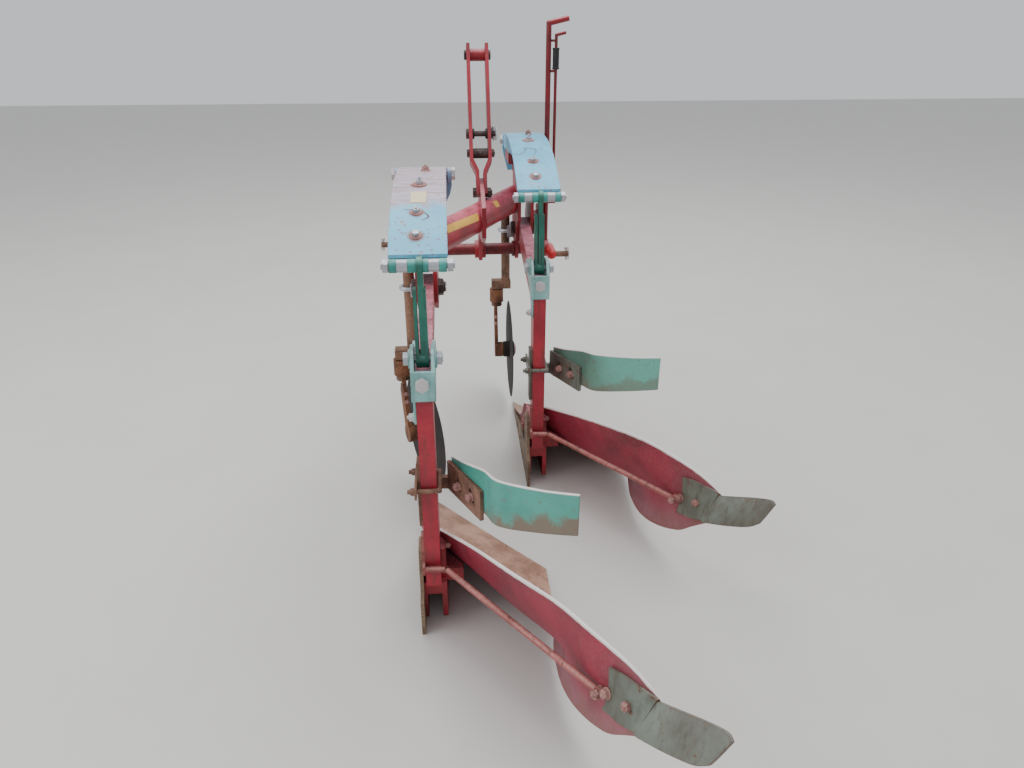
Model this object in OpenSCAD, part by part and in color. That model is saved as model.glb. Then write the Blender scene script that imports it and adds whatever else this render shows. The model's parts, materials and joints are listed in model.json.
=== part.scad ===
// Mounted two-furrow mouldboard plough with a leaf-spring stone release on each body.
// +Y is the direction of travel, +X the furrow side and +Z up; the ground is z = 0.
// Each unit is drawn about its own beam plane x = 0 and set in place twice, rear and front.

/* [Layout] */
// Sideways distance between the two units, the width of one furrow
furrow_w = 355; // [345:1:370]
// Lengthwise distance between the two units
furrow_step = 703; // [690:1:720]
// Middle of the whole plough to the rear beam, sideways
rear_beam_x = 339; // [330:1:350]
// Middle of the whole plough to the rear unit's datum, lengthwise
rear_beam_y = 446; // [436:1:456]

/* [Beam] */
// Width of the beam and leg, side to side
beam_w = 40; // [36:1:44]
// Depth of the beam in its own plane
beam_d = 82; // [74:1:88]
// Height of the beam's pivot
pivot_z = 779; // [774:1:784]
// Pivot, forward of the unit's datum
pivot_y = 650; // [645:1:655]
// Rise of the beam towards its pivot, in degrees
beam_rise = 8; // [7:0.5:9]
// Diameter of the pivot bolt
pivot_bolt_d = 30; // [26:1:32]
// Rear face of the leg, forward of the unit's datum
leg_y = 42; // [36:1:48]
// Height of the leg's lower end
leg_foot_z = 140; // [134:1:150]
// Outer radius of the corner between beam and leg
corner_r = 60; // [50:1:66]

/* [Head] */
// Thickness of the head's side plates
head_t = 12; // [10:1:14]
// Outer diameter of the main tube
tube_d = 95; // [90:1:100]
// Wall of the main tube
tube_wall = 8; // [6:1:10]
// Height of the main tube's axis
tube_z = 900; // [896:1:904]
// Main tube's axis at the middle of a head, forward of the unit's datum
tube_y = 690; // [686:1:694]

/* [Leaf spring] */
// Width of the leaves
leaf_w = 136; // [128:1:140]
// Thickness of one leaf, measured upright
leaf_t = 8.5; // [7.5:0.1:9]
// Number of short leaves under the main leaf
short_leaves = 5; // [4:1:5]
// Height of the main leaf's crown
crown_z = 1135; // [1130:1:1140]
// Crown of the main leaf, forward of the unit's datum
crown_y = 550; // [540:1:560]
// Front end of the leaves
nose_y = 763; // [756:1:770]
// Height of the hinge pin
hinge_z = 1012; // [1008:1:1016]
// Hinge pin, forward of the unit's datum
hinge_y = 100; // [96:1:104]
// Diameter of the hinge pin
hinge_pin_d = 16; // [14:1:18]
// Outer diameter of the hinge barrels
barrel_d = 32; // [28:1:34]

/* [Link] */
// Height of the link's lower bolt
link_foot_z = 788; // [784:1:794]
// Link's lower bolt, forward of the unit's datum
link_foot_y = 88; // [84:1:94]
// Diameter of the link's lower bolt
link_bolt_d = 20; // [18:1:22]
// Width of the link's eye at the hinge
link_eye_w = 14; // [12:0.5:15]
// Width of the link over its two straps
link_w = 30; // [26:1:32]
// Thickness of the link bracket's ears
ear_t = 9; // [8:1:11]

/* [Body] */
// Thickness of the mouldboard
board_t = 7; // [6:0.5:8]
// Thickness of the share at its seam with the mouldboard
share_t = 11; // [9:0.5:13]
// Thickness of the tail piece
tail_t = 8; // [6:0.5:9]
// Thickness of the landside
landside_t = 10; // [8:1:12]
// Thickness of the frog's side webs
frog_web = 8; // [7:1:9]
// Diameter of the stay rod
stay_d = 16; // [14:1:18]

/* [Trash board] */
// Thickness of the trash board
trash_t = 5; // [4:0.5:6]
// Thickness of the slotted plate and its shank
shank_t = 10; // [8:1:12]
// Diameter of the U-bolt round the leg
ubolt_d = 12; // [10:1:14]
// Height of the U-bolt round the leg
ubolt_z = 448; // [440:1:456]

/* [Disc coulter] */
// Diameter of the disc
disc_d = 406; // [380:1:420]
// Thickness of the disc
disc_t = 4; // [3:0.5:5]
// Height of the disc's axle
disc_z = 252; // [245:1:260]
// Disc, sideways from the beam's plane
disc_x = -50; // [-54:1:-46]
// Disc's axle behind the swivel axis
disc_trail = 55; // [45:1:65]
// Diameter of the coulter's axle
axle_d = 25; // [22:1:28]
// Diameter of the coulter's stem
stem_d = 35; // [32:1:36]
// Coulter's stem, forward of the unit's datum
stem_y = 748; // [744:1:752]
// Coulter's stem, sideways from the beam's plane
stem_x = -62; // [-64:1:-60]
// Height of the stem's top
stem_top_z = 848; // [840:1:852]
// Sideways crank of the stem's lower end
stem_crank = 38; // [36:1:42]
// Rest angle of the rear coulter about its stem, in degrees
rear_swivel = 20; // [0:1:22]

/* [Hitch] */
// Diameter of the cross shaft
shaft_d = 45; // [40:1:48]
// Height of the cross shaft
shaft_z = 698; // [695:1:700]
// Cross shaft, forward of the front unit's datum
shaft_y = 650; // [645:1:655]
// Crank of the cross shaft's ends
crank = 92; // [85:1:98]
// Diameter of the lower link pins
link_pin_d = 22; // [20:1:22.4]
// Free length of the lower link pins
link_pin_len = 46; // [42:1:50]
// Left end of the cross shaft's straight part, from the front beam's plane
shaft_left = -492; // [-500:1:-484]
// Right end of the cross shaft's straight part, from the front beam's plane
shaft_right = 100; // [98:1:104]
// Thickness of the headstock plate
stock_t = 14; // [12:1:16]
// Headstock plate, sideways from the front beam's plane
stock_x = -168; // [-172:1:-164]
// Width of the mast bars
bar_w = 60; // [54:1:64]
// Thickness of the mast bars
bar_t = 12; // [10:1:14]
// Height of the top link pin
top_z = 1400; // [1390:1:1410]
// Top link pin, forward of the front unit's datum
top_y = 600; // [590:1:610]
// Diameter of the top link pin
top_pin_d = 19; // [18:1:22]
// Diameter of the hand lever
lever_d = 19; // [17:1:21]
// Hand lever, sideways from the front beam's plane
lever_x = 87; // [86:1:88]
// Height of the hand lever's top
lever_top_z = 1500; // [1480:1:1510]

/* [Hidden] */
$fn = 48;
clr = 0.3;
fit = 0.05;
hb = beam_w / 2;
front_x = furrow_w - rear_beam_x;
front_y = furrow_step - rear_beam_y;
sides = ["rear", "front"];

// Places a unit's piece: 0 is the rear unit, 1 the front one.
module unit(i) {
  translate([i * furrow_w - rear_beam_x, i * furrow_step - rear_beam_y, 0]) children();
}

// Extrudes a side outline, drawn as (forward, up), from one sideways position to another.
module side(x0, x1) {
  translate([x0, 0, 0]) rotate([90, 0, 90]) linear_extrude(x1 - x0) children();
}

// A round bar along X between two sideways positions.
module bar_x(x0, x1, y, z, d) {
  translate([x0, y, z]) rotate([0, 90, 0]) cylinder(h = x1 - x0, d = d);
}

// A hexagon bolt head or nut along X, across its flats.
module hex_x(x0, x1, y, z, flats) {
  translate([x0, y, z]) rotate([0, 90, 0]) cylinder(h = x1 - x0, d = flats / cos(30), $fn = 6);
}

// A round bar between two points.
module rod(a, b, d) {
  v = b - a;
  len = norm(v);
  translate(a) rotate([0, acos(v[2] / len), atan2(v[1], v[0])]) cylinder(h = len, d = d);
}

// A round elbow where two bars meet, a little fatter than they are.
module elbow(p, d) {
  translate(p) sphere(d = d + 0.8);
}

// Points on an arc, as (forward, up).
function arc(c, r, a0, a1, n = 6) =
  [for (i = [0 : n]) let (a = a0 + (a1 - a0) * i / n) [c[0] + r * cos(a), c[1] + r * sin(a)]];

// Upper face of the main leaf at a lengthwise position, which falls from the crown to the hinge.
leaf_over_pin = 11.4;
leaf_drop = crown_z - hinge_z - leaf_over_pin;
leaf_reach = crown_y - hinge_y;
leaf_pitch = leaf_t + clr;
function leaf_z(y) = crown_z - leaf_drop * pow(abs(y - crown_y) / leaf_reach, 2.3);
// Outline points on the leaf's face or a distance under it, at the same lengthwise steps for every leaf.
leaf_step = 24;
function leaf_line(y0, y1, down) =
  [for (y = concat([y0], [for (i = [ceil((y0 + 1) / leaf_step) : floor((y1 - 1) / leaf_step)]) i * leaf_step], [y1]))
    [y, leaf_z(y) - down]];
function flip(v) = [for (i = [len(v) - 1 : -1 : 0]) v[i]];

// Mouldboard's working face by stations from the shin to the tail.
// Columns: lower edge x, y, z; control point x, y, z; upper edge x, y, z.
board_stations = [
  [-34, 478, 78, -34, 262, 140, -30, 205, 246],
  [110, 330, 50, 112, 75, 95, 96, 13, 299],
  [215, 215, 45, 222, -85, 62, 195, -160, 342],
  [325, 90, 40, 315, -300, 110, 285, -280, 354],
  [312, -110, 28, 342, -385, 115, 345, -372, 354],
  [322, -262, 46, 380, -455, 150, 408, -445, 334],
  [370, -412, 108, 402, -497, 170, 446, -492, 312],
  [425, -520, 200, 440, -528, 235, 466, -512, 290]];
// Share's cutting edge at the first four stations, x, y, z.
edge_stations = [[-36, 690, 2], [115, 511, 2], [222, 386, 2], [331, 262, 2]];

function catmull(p0, p1, p2, p3, t) =
  0.5 * (2 * p1 + (p2 - p0) * t + (2 * p0 - 5 * p1 + 4 * p2 - p3) * t * t
    + (3 * p1 - p0 - 3 * p2 + p3) * t * t * t);
function station(s) =
  let (n = len(board_stations) - 1, i = min(floor(s), n - 1), t = s - i)
  catmull(board_stations[max(i - 1, 0)], board_stations[i], board_stations[i + 1],
    board_stations[min(i + 2, n)], t);
function face(s, t) =
  let (q = station(s), b = [q[0], q[1], q[2]], c = [q[3], q[4], q[5]], e = [q[6], q[7], q[8]])
  (1 - t) * (1 - t) * b + 2 * t * (1 - t) * c + t * t * e;
function unitv(v) = v / norm(v);
// Unit normal on the back of the board, away from the soil.
function back(s, t) =
  let (ds = face(min(s + 0.05, 7), t) - face(max(s - 0.05, 0), t),
    dt = face(s, min(t + 0.02, 1)) - face(s, max(t - 0.02, 0)))
  unitv(cross(ds, dt));
function behind(s, t, d) = face(s, t) + back(s, t) * d;

// Closed plate between two grids of points, each grid a list of equal rows.
module plate(front, rear) {
  r = len(front);
  c = len(front[0]);
  n = r * c;
  pts = concat([for (row = front) each row], [for (row = rear) each row]);
  walls = concat(
    [for (i = [0 : r - 2]) let (a = i * c) each [[a + c, a, n + a], [a + c, n + a, n + a + c]]],
    [for (i = [0 : r - 2]) let (a = i * c + c - 1) each [[a, a + c, n + a], [a + c, n + a + c, n + a]]],
    [for (j = [0 : c - 2]) each [[j, j + 1, n + j], [j + 1, n + j + 1, n + j]]],
    [for (j = [0 : c - 2]) let (a = (r - 1) * c + j) each [[a + 1, a, n + a], [a + 1, n + a, n + a + 1]]]);
  skins = concat(
    [for (i = [0 : r - 2], j = [0 : c - 2]) let (a = i * c + j)
      each [[a, a + c, a + 1], [a + 1, a + c, a + c + 1]]],
    [for (i = [0 : r - 2], j = [0 : c - 2]) let (a = n + i * c + j)
      each [[a, a + 1, a + c], [a + 1, a + c + 1, a + c]]]);
  polyhedron(points = pts, faces = concat(skins, walls));
}

function board_grid(s0, s1, ns, t0, t1, nt, d) =
  [for (i = [0 : ns]) [for (j = [0 : nt]) behind(s0 + (s1 - s0) * i / ns, t0 + (t1 - t0) * j / nt, d)]];

module mouldboard() {
  color("firebrick") plate(board_grid(0, 7, 28, 0, 1, 8, 0), board_grid(0, 7, 28, 0, 1, 8, board_t));
}

// Straight strip from the seam to the cutting edge, thin at the edge and square to the board at the seam.
seam_gap = 0.6;
function edge(s) =
  let (i = min(floor(s), 2), t = s - i)
  edge_stations[i] + (edge_stations[i + 1] - edge_stations[i]) * t;
function share_row(s, n, gap, d) =
  let (b = face(s, 0), e = edge(s), up = unitv(b - e), flat = unitv(cross(face(s + 0.05, 0) - face(s, 0), up)))
  [for (j = [0 : n]) let (k = j / n)
    e + (b - up * gap - e) * k + unitv(flat * (1 - k) + back(s, 0) * k) * (d == 0 ? 0 : 1.5 + (d - 1.5) * k)];

share_rows = 12;
module share() {
  color("saddlebrown") plate(
    [for (i = [0 : share_rows]) share_row(i * 3 / share_rows, 2, seam_gap, 0)],
    [for (i = [0 : share_rows]) share_row(i * 3 / share_rows, 2, seam_gap, share_t)]);
}

// Tail piece, laid on the back of the board and run on past its end.
// Columns: station on the board, lower and upper edge as shares of the board's height there.
tail_gap = board_t + clr + 0.5;
tail_laid = [[5.75, 0.3, 0.68], [6, 0.25, 0.74], [6.25, 0.2, 0.81], [6.5, 0.12, 0.9], [6.75, 0.05, 0.96], [7, 0, 1]];
tail_run = unitv([0.44, -0.78, 0.44]);
// Columns: reach of the lower and of the upper edge past the board's end.
tail_free = [[60, 70], [120, 130], [170, 190]];
tail_front = concat(
  [for (r = tail_laid) [for (j = [0 : 4]) behind(r[0], r[1] + (r[2] - r[1]) * j / 4, tail_gap)]],
  [for (r = tail_free) [for (j = [0 : 4]) behind(7, j / 4, tail_gap) + tail_run * (r[0] + (r[1] - r[0]) * j / 4)]],
  [[for (j = [0 : 4]) behind(7, 0.45 + 0.1 * j, tail_gap) + tail_run * (205 + 2.5 * j)]]);
module tail_piece() {
  n = back(6.6, 0.5) * tail_t;
  color("darkseagreen") plate(tail_front, [for (row = tail_front) [for (p = row) p + n]]);
}

module frog() {
  web = [[78, 140], [78, 236], [120, 250], [330, 250], [430, 120], [430, 14], [70, 14], [60, 60], [60, 134], [78, 134]];
  color("firebrick") difference() {
    union() {
      side(-hb - frog_web, -hb) polygon(web);
      side(hb, hb + frog_web + 6) polygon(web);
      side(-hb - frog_web, hb + frog_web + 6)
        polygon([[beam_d + leg_y + clr, 60], [beam_d + leg_y + clr, 200], [330, 200], [430, 60]]);
      side(-hb - frog_web, hb + frog_web + 6) polygon([[60, 100], [60, leg_foot_z - clr], [130, leg_foot_z - clr], [130, 100]]);
      side(hb, hb + 60) polygon([[90, 120], [90, 160], [330, 160], [330, 120]]);
    }
    frog_cutter();
  }
}

// Everything in front of the back of board and share, cleared by a small gap.
module frog_cutter() {
  g = board_t + 2 * clr;
  low = [for (i = [0 : 8]) let (s = i * 0.25) [for (j = [0 : 2]) let (row = share_row(s, 2, 0, share_t + 2 * clr)) row[j] + [0, 0, 0]]];
  rows = [for (i = [0 : 8]) let (s = i * 0.25)
    concat([low[i][0] + [-30, 60, -30], low[i][2] + [-14, 0, -4]], [for (j = [0 : 8]) behind(s, j / 8, g) + [-10, 6, 0]],
      [behind(s, 1, g) + [-10, 0, 120]])];
  plate([for (row = rows) [for (p = row) p + [30, 460, 0]]], rows);
}

module landside() {
  color("slategray") side(-hb - frog_web - landside_t, -hb - frog_web)
    polygon([[14, 0], [600, 0], [600, 16], [478, 48], [400, 78], [300, 98], [130, 118], [125, 245], [62, 245],
      [44, 120], [14, 110]]);
}

stay_s = 4.7;
stay_t = 0.68;
module stay_rod() {
  n = back(stay_s, stay_t);
  seat = behind(stay_s, stay_t, board_t + 0.9);
  a = [-hb - 4, leg_y - stay_d / 2 - clr, 206];
  b = [hb + 16, leg_y - stay_d / 2 - 6, 206];
  e = seat + n * 10;
  color("indianred") {
    side(-hb - 8, -hb) polygon([[26, 192], [74, 192], [76, 300], [48, 300], [44, 222], [26, 218]]);
    rod(a, b, stay_d);
    elbow(b, stay_d);
    rod(b, e, stay_d);
    translate(seat) rotate([0, acos(n[2]), atan2(n[1], n[0])]) cylinder(h = 16, d = 24);
  }
}

trash_a = [46, 124];
trash_ang = -62.5;
module slot(len, d, h) {
  translate([-len / 2, -d / 2, 0]) cube([len, d, h]);
  for (s = [-1, 1]) translate([s * len / 2, 0, 0]) cylinder(h = h, d = d);
}
module trash_bracket() {
  yr = leg_y - ubolt_d / 2 - clr;
  yf = leg_y + beam_d + ubolt_d / 2 + clr;
  xr = hb + clr + ubolt_d / 2;
  xl = -hb - shank_t;
  color("darkkhaki") {
    side(xl, -hb) polygon([[62, 325], [104, 325], [104, 510], [62, 510]]);
    side(xl - 6, xl) polygon([[20, ubolt_z - 16], [146, ubolt_z - 16], [146, ubolt_z + 16], [20, ubolt_z + 16]]);
    for (y = [yr, yf]) {
      bar_x(xl - 24, xr, y, ubolt_z, ubolt_d);
      elbow([xr, y, ubolt_z], ubolt_d);
      hex_x(xl - 16, xl - 6, y, ubolt_z, 19);
    }
    rod([xr, yr, ubolt_z], [xr, yf, ubolt_z], ubolt_d);
    side(xl, trash_a[0] + 6) polygon([[leg_y + beam_d + clr, 396], [leg_y + beam_d + 16, 396],
      [leg_y + beam_d + 16, 430], [leg_y + beam_d + clr, 430]]);
    side(xl, -hb) polygon([[62, 396], [leg_y + beam_d + 16, 396], [leg_y + beam_d + 16, 430], [62, 430]]);
    translate([trash_a[0], trash_a[1], 396]) rotate([0, 0, trash_ang]) difference() {
      cube([172, shank_t, 86]);
      for (p = [[62, 46], [128, 50]]) translate([p[0], -1, p[1]]) rotate([-90, 0, 0]) rotate([0, 0, 62]) slot(26, 14, 30);
    }
  }
}

// Trash board by stations on the slotted plate, then past it.
// Columns laid: reach along the plate, lower edge z, upper edge z. Columns free: x, y, lower z, upper z.
trash_laid = [[6, 385, 496], [62, 394, 508], [118, 404, 524], [174, 416, 540]];
trash_free = [[166, -107, 434, 561], [254, -186, 468, 583], [330, -242, 497, 604]];
trash_dir = [cos(trash_ang), sin(trash_ang)];
trash_out = [-sin(trash_ang), cos(trash_ang)];
trash_stations = concat(
  [for (q = trash_laid) let (p = trash_a + trash_dir * q[0] + trash_out * (shank_t + clr)) [p[0], p[1], q[1], q[2]]],
  trash_free);
function trash_at(u) = let (n = len(trash_stations) - 1, i = min(floor(u), n - 1), t = u - i)
  catmull(trash_stations[max(i - 1, 0)], trash_stations[i], trash_stations[i + 1], trash_stations[min(i + 2, n)], t);
module trash_board() {
  rows = [for (i = [0 : 18]) let (q = trash_at(i / 3), e = trash_at(min(i / 3 + 0.1, 6)) - trash_at(max(i / 3 - 0.1, 0)),
    n = unitv([-e[1], e[0], 0])) [for (z = [q[2], (q[2] + q[3]) / 2, q[3]]) [[q[0], q[1], z], n]]];
  color("mediumturquoise") plate([for (row = rows) [for (p = row) p[0] + p[1] * trash_t]],
    [for (row = rows) [for (p = row) p[0]]]);
}

module beam() {
  c = [leg_y + corner_r, pivot_z - (pivot_y - leg_y - corner_r) * tan(beam_rise) + beam_d / 2 / cos(beam_rise) - corner_r / cos(beam_rise)];
  line = function(y, up) pivot_z + (y - pivot_y) * tan(beam_rise) + up / cos(beam_rise);
  color("crimson") difference() {
    union() {
      side(-hb, hb) polygon(concat(
        arc(c, corner_r, 180, 90 + beam_rise, 8),
        [[pivot_y - beam_d / 2 * sin(beam_rise), line(pivot_y - beam_d / 2 * sin(beam_rise), beam_d / 2)]],
        [[pivot_y + beam_d / 2 * sin(beam_rise), line(pivot_y + beam_d / 2 * sin(beam_rise), -beam_d / 2)]],
        arc([leg_y + beam_d + 70, line(leg_y + beam_d + 70, -beam_d / 2) - 70], 70, 90 + beam_rise, 180, 8),
        [[leg_y + beam_d - 6, leg_foot_z], [leg_y + 4, leg_foot_z]]));
      bar_x(-hb, hb, pivot_y, pivot_z, beam_d);
    }
    bar_x(-hb - 1, hb + 1, pivot_y, pivot_z, pivot_bolt_d + 2 * fit);
  }
}

pack_t = short_leaves * leaf_pitch + leaf_t;
module head(i) {
  // Columns: forward, up.
  common_low = [[604, 745], [640, 715], [790, 715], [790, 800]];
  right = i == 0 ? [[868, 846], [868, 954], [780, 1000]] : [[760, 850], [756, 960]];
  left = i == 0 ? [[760, 850], [756, 960]] : [[760, 850], [756, 960]];
  top = [[750, 1046], [565, 1046]];
  left_rear = i == 0 ? [[548, 990], [560, 850]] : [[512, 990], [512, 846], [580, 800]];
  right_rear = [[548, 990], [560, 850]];
  saddle = concat(leaf_line(570, 744, pack_t + clr), [[744, 1034], [570, 1034]]);
  color("firebrick") difference() {
    union() {
      side(hb, hb + head_t) polygon(concat(common_low, right, top, right_rear));
      side(-hb - head_t, -hb) polygon(concat(common_low, left, top, left_rear));
      side(-62, 62) polygon(saddle);
      side(-hb, hb) polygon([[600, 960], [720, 960], [720, 1036], [600, 1036]]);
      if (i == 1) for (s = [-1, 1]) bar_x(s > 0 ? hb : -hb - head_t, s > 0 ? hb + head_t : -hb, shaft_y, shaft_z, shaft_d + 32);
    }
    bar_x(-hb - head_t - 1, hb + head_t + 1, pivot_y, pivot_z, pivot_bolt_d + 2 * fit);
    for (s = [-1, 1]) bar_x(-hb - head_t - 1, hb + head_t + 1, stem_y + s * clamp_pitch, clamp_z, clamp_d + 2 * clr);
    if (i == 1) bar_x(-hb - head_t - 1, hb + head_t + 1, shaft_y, shaft_z, shaft_d + 2 * fit);
  }
}

module pivot_bolt() {
  w = hb + head_t;
  color("dimgray") {
    bar_x(-w, w + 22, pivot_y, pivot_z, pivot_bolt_d);
    hex_x(-w - 16, -w, pivot_y, pivot_z, 46);
    hex_x(w, w + 16, pivot_y, pivot_z, 46);
  }
}

module main_leaf() {
  y0 = hinge_y + barrel_d / 2 + 1;
  color("skyblue") side(-leaf_w / 2, leaf_w / 2)
    polygon(concat(leaf_line(y0, nose_y, 0), flip(leaf_line(y0, nose_y, leaf_t))));
}

module short_leaves() {
  color("skyblue") for (k = [1 : short_leaves]) {
    w = leaf_w / 2 - (k % 2) * 1.5;
    y0 = 300 + k * 42;
    y1 = nose_y - k * 6;
    side(-w, w) polygon(concat(leaf_line(y0, y1, k * leaf_pitch), flip(leaf_line(y0, y1, k * leaf_pitch + leaf_t))));
  }
}

// Barrels along the hinge, left to right. Columns: left end, right end, kind: 0 bracket, 1 roller, 2 link eye.
barrels = [[-65.5, -48.5, 0], [-48.5, -23.5, 1], [-23.5, -3.8, 0], [-3.5, 10.5, 2], [10.8, 23.5, 0],
  [23.5, 48.5, 1], [48.5, 65.5, 0]];
module hinge_bracket() {
  y0 = hinge_y + 8;
  color("seagreen") difference() {
    union() {
      side(-62, 62) polygon(concat(leaf_line(y0 + 14, 286, leaf_t + clr), flip(leaf_line(y0 + 14, 286, leaf_t + 8))));
      for (b = barrels) if (b[2] == 0) {
        bar_x(b[0], b[1], hinge_y, hinge_z, barrel_d);
        side(b[0], b[1]) polygon([[hinge_y, hinge_z - barrel_d / 2], [hinge_y, hinge_z + 2], [y0 + 16, leaf_z(y0 + 16) - leaf_t - clr - 0.2],
          [y0 + 34, leaf_z(y0 + 34) - leaf_t - 4], [y0 + 34, leaf_z(y0 + 34) - leaf_t - 12]]);
      }
    }
    bar_x(-70, 70, hinge_y, hinge_z, hinge_pin_d + 2 * fit);
    side(-leaf_w / 2 - 1, leaf_w / 2 + 1) polygon(concat(leaf_line(hinge_y - 2, 290, leaf_t + clr), [[290, 1150], [hinge_y - 2, 1150]]));
  }
}
module hinge_rollers() {
  color("gray") for (b = barrels) if (b[2] == 1) difference() {
    bar_x(b[0] + clr, b[1] - clr, hinge_y, hinge_z, barrel_d - 2);
    bar_x(b[0] - 1, b[1] + 1, hinge_y, hinge_z, hinge_pin_d + 2 * fit);
  }
}
module hinge_pin() {
  color("dimgray") {
    bar_x(-84, 84, hinge_y, hinge_z, hinge_pin_d);
    hex_x(-80, -67, hinge_y, hinge_z, 27);
    hex_x(67, 80, hinge_y, hinge_z, 27);
  }
}

module link() {
  v = [hinge_y - link_foot_y, hinge_z - link_foot_z];
  eye_x = 3.5;
  lean = atan2(v[0], v[1]);
  len = norm(v);
  color("darkgreen") difference() {
    translate([0, link_foot_y, link_foot_z]) rotate([-lean, 0, 0]) {
      bar_x(eye_x - link_eye_w / 2, eye_x + link_eye_w / 2, 0, len, 40);
      side(eye_x - link_eye_w / 2, eye_x + link_eye_w / 2) polygon([[-18, 0], [18, 0], [16, len], [-16, len]]);
      bar_x(-link_w / 2, link_w / 2, 0, 0, 44);
      for (s = [-1, 1]) side(s > 0 ? link_w / 2 - 8 : -link_w / 2, s > 0 ? link_w / 2 : -link_w / 2 + 8)
        polygon([[-22, 0], [22, 0], [14, len - 52], [-14, len - 52]]);
    }
    bar_x(-hb, hb, hinge_y, hinge_z, hinge_pin_d + 2 * fit);
    bar_x(-hb, hb, link_foot_y, link_foot_z, link_bolt_d + 2 * fit);
  }
}

module link_bracket() {
  ear = [[leg_y - 8, 700], [leg_y - 8, 775], [60, 812], [70, 818], [106, 818], [150, 792], [222, 780], [222, 748], [150, 735], [70, 700]];
  color("paleturquoise") difference() {
    union() {
      side(hb, hb + ear_t) polygon(ear);
      side(-hb - ear_t, -hb) polygon(ear);
      side(-hb - ear_t, hb + ear_t) polygon([[leg_y - 10, 700], [leg_y - 10, 776], [leg_y - clr, 776], [leg_y - clr, 700]]);
      for (s = [-1, 1]) bar_x(s > 0 ? hb + ear_t : -hb - ear_t - 5, s > 0 ? hb + ear_t + 5 : -hb - ear_t, link_foot_y, link_foot_z, 46);
    }
    bar_x(-50, 50, link_foot_y, link_foot_z, link_bolt_d + 2 * fit);
  }
}
module link_bolt() {
  w = hb + ear_t + 5;
  color("silver") {
    bar_x(-w, w + 14, link_foot_y, link_foot_z, link_bolt_d);
    hex_x(-w - 12, -w, link_foot_y, link_foot_z, 30);
    hex_x(w, w + 12, link_foot_y, link_foot_z, 30);
  }
}

clamp_z = 748;
clamp_d = 14;
clamp_pitch = stem_d / 2 + clr + clamp_d / 2;
axis_x = stem_x - stem_crank;
module coulter_stem() {
  color("saddlebrown") {
    translate([stem_x, stem_y, 516]) cylinder(h = stem_top_z - 516, d = stem_d);
    translate([axis_x - 20, stem_y - 19, 506]) cube([stem_crank + 40, 38, 34]);
    translate([axis_x, stem_y, 438]) cylinder(h = 80, d = 28);
    translate([axis_x, stem_y, 430]) cylinder(h = 14, d = 44);
  }
}
module coulter_clamp() {
  w = hb + head_t;
  color("silver") {
    difference() {
      translate([stem_x + 6, stem_y - 36, clamp_z - 22]) cube([-w - stem_x - 6, 72, 44]);
      translate([stem_x, stem_y, 700]) cylinder(h = 100, d = stem_d + 2 * clr);
    }
    translate([stem_x, stem_y, clamp_z]) rotate([0, 0, 90]) rotate_extrude(angle = 180) translate([clamp_pitch, 0]) circle(d = clamp_d);
    for (s = [-1, 1]) {
      bar_x(stem_x, w + 24, stem_y + s * clamp_pitch, clamp_z, clamp_d);
      hex_x(w + 6, w + 17, stem_y + s * clamp_pitch, clamp_z, 22);
    }
    side(w, w + 6) polygon([[stem_y - 40, clamp_z - 16], [stem_y + 40, clamp_z - 16], [stem_y + 40, clamp_z + 16], [stem_y - 40, clamp_z + 16]]);
  }
}

module swung(i) {
  translate([axis_x, stem_y, 0]) rotate([0, 0, i == 0 ? rear_swivel : 0]) translate([-axis_x, -stem_y, 0]) children();
}
hub_y = stem_y - disc_trail;
arm_x0 = axis_x - 12;
module coulter_arm() {
  color("rosybrown") difference() {
    union() {
      translate([axis_x, stem_y, 448]) cylinder(h = 54, d = 56);
      side(arm_x0, arm_x0 + 14) polygon([[stem_y - 20, 496], [stem_y + 20, 496], [stem_y + 14, 452], [hub_y + 18, disc_z],
        [hub_y - 18, disc_z], [stem_y - 26, 452]]);
      bar_x(arm_x0, arm_x0 + 34, hub_y, disc_z, 62);
      bar_x(arm_x0, disc_x + 16, hub_y, disc_z, axle_d);
    }
    translate([axis_x, stem_y, 400]) cylinder(h = 140, d = 28 + 2 * fit);
    translate([axis_x, stem_y, 420]) cylinder(h = 29, d = 46);
  }
}
module disc() {
  color("darkslategray") difference() {
    union() {
      bar_x(disc_x - disc_t / 2, disc_x + disc_t / 2, hub_y, disc_z, disc_d);
      bar_x(arm_x0 + 36, disc_x + 20, hub_y, disc_z, 66);
      bar_x(disc_x + 19, disc_x + 28, hub_y, disc_z, 52);
    }
    bar_x(arm_x0 - 1, disc_x + 18, hub_y, disc_z, axle_d + 2 * fit);
  }
}

// Main tube between the two heads, its ends cut flush with their side plates.
module main_tube() {
  x0 = hb + head_t;
  x1 = furrow_w - hb - head_t;
  ang = atan2(furrow_step, furrow_w);
  color("crimson") unit(0) intersection() {
    translate([0, tube_y, tube_z]) rotate([0, 0, ang]) difference() {
      bar_x(-200, 1000, 0, 0, tube_d);
      bar_x(-201, 1001, 0, 0, tube_d - 2 * tube_wall);
    }
    translate([x0, 0, 0]) cube([x1 - x0, 2000, 2000]);
  }
}

stock_bolt = [400, 968];
stock_hole_y = tube_y + stock_x * furrow_step / furrow_w;
module headstock_plate() {
  x0 = stock_x - stock_t / 2;
  ang = atan2(furrow_step, furrow_w);
  color("firebrick") unit(1) difference() {
    union() {
      side(x0, x0 + stock_t) polygon([[236, 850], [236, 950], [330, 990], [440, 1010], [520, 985], [640, 780], [700, 720],
        [690, 664], [610, 664], [520, 790], [330, 812]]);
      bar_x(x0 - 14, x0 + stock_t + 14, shaft_y, shaft_z, shaft_d + 24);
    }
    translate([0, tube_y, tube_z]) rotate([0, 0, ang]) bar_x(-900, 300, 0, 0, tube_d + 2 * clr);
    bar_x(x0 - 20, x0 + stock_t + 20, shaft_y, shaft_z, shaft_d + 2 * fit);
    bar_x(x0 - 1, x0 + stock_t + 1, stock_bolt[0], stock_bolt[1], 20 + 2 * fit);
  }
}

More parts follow.
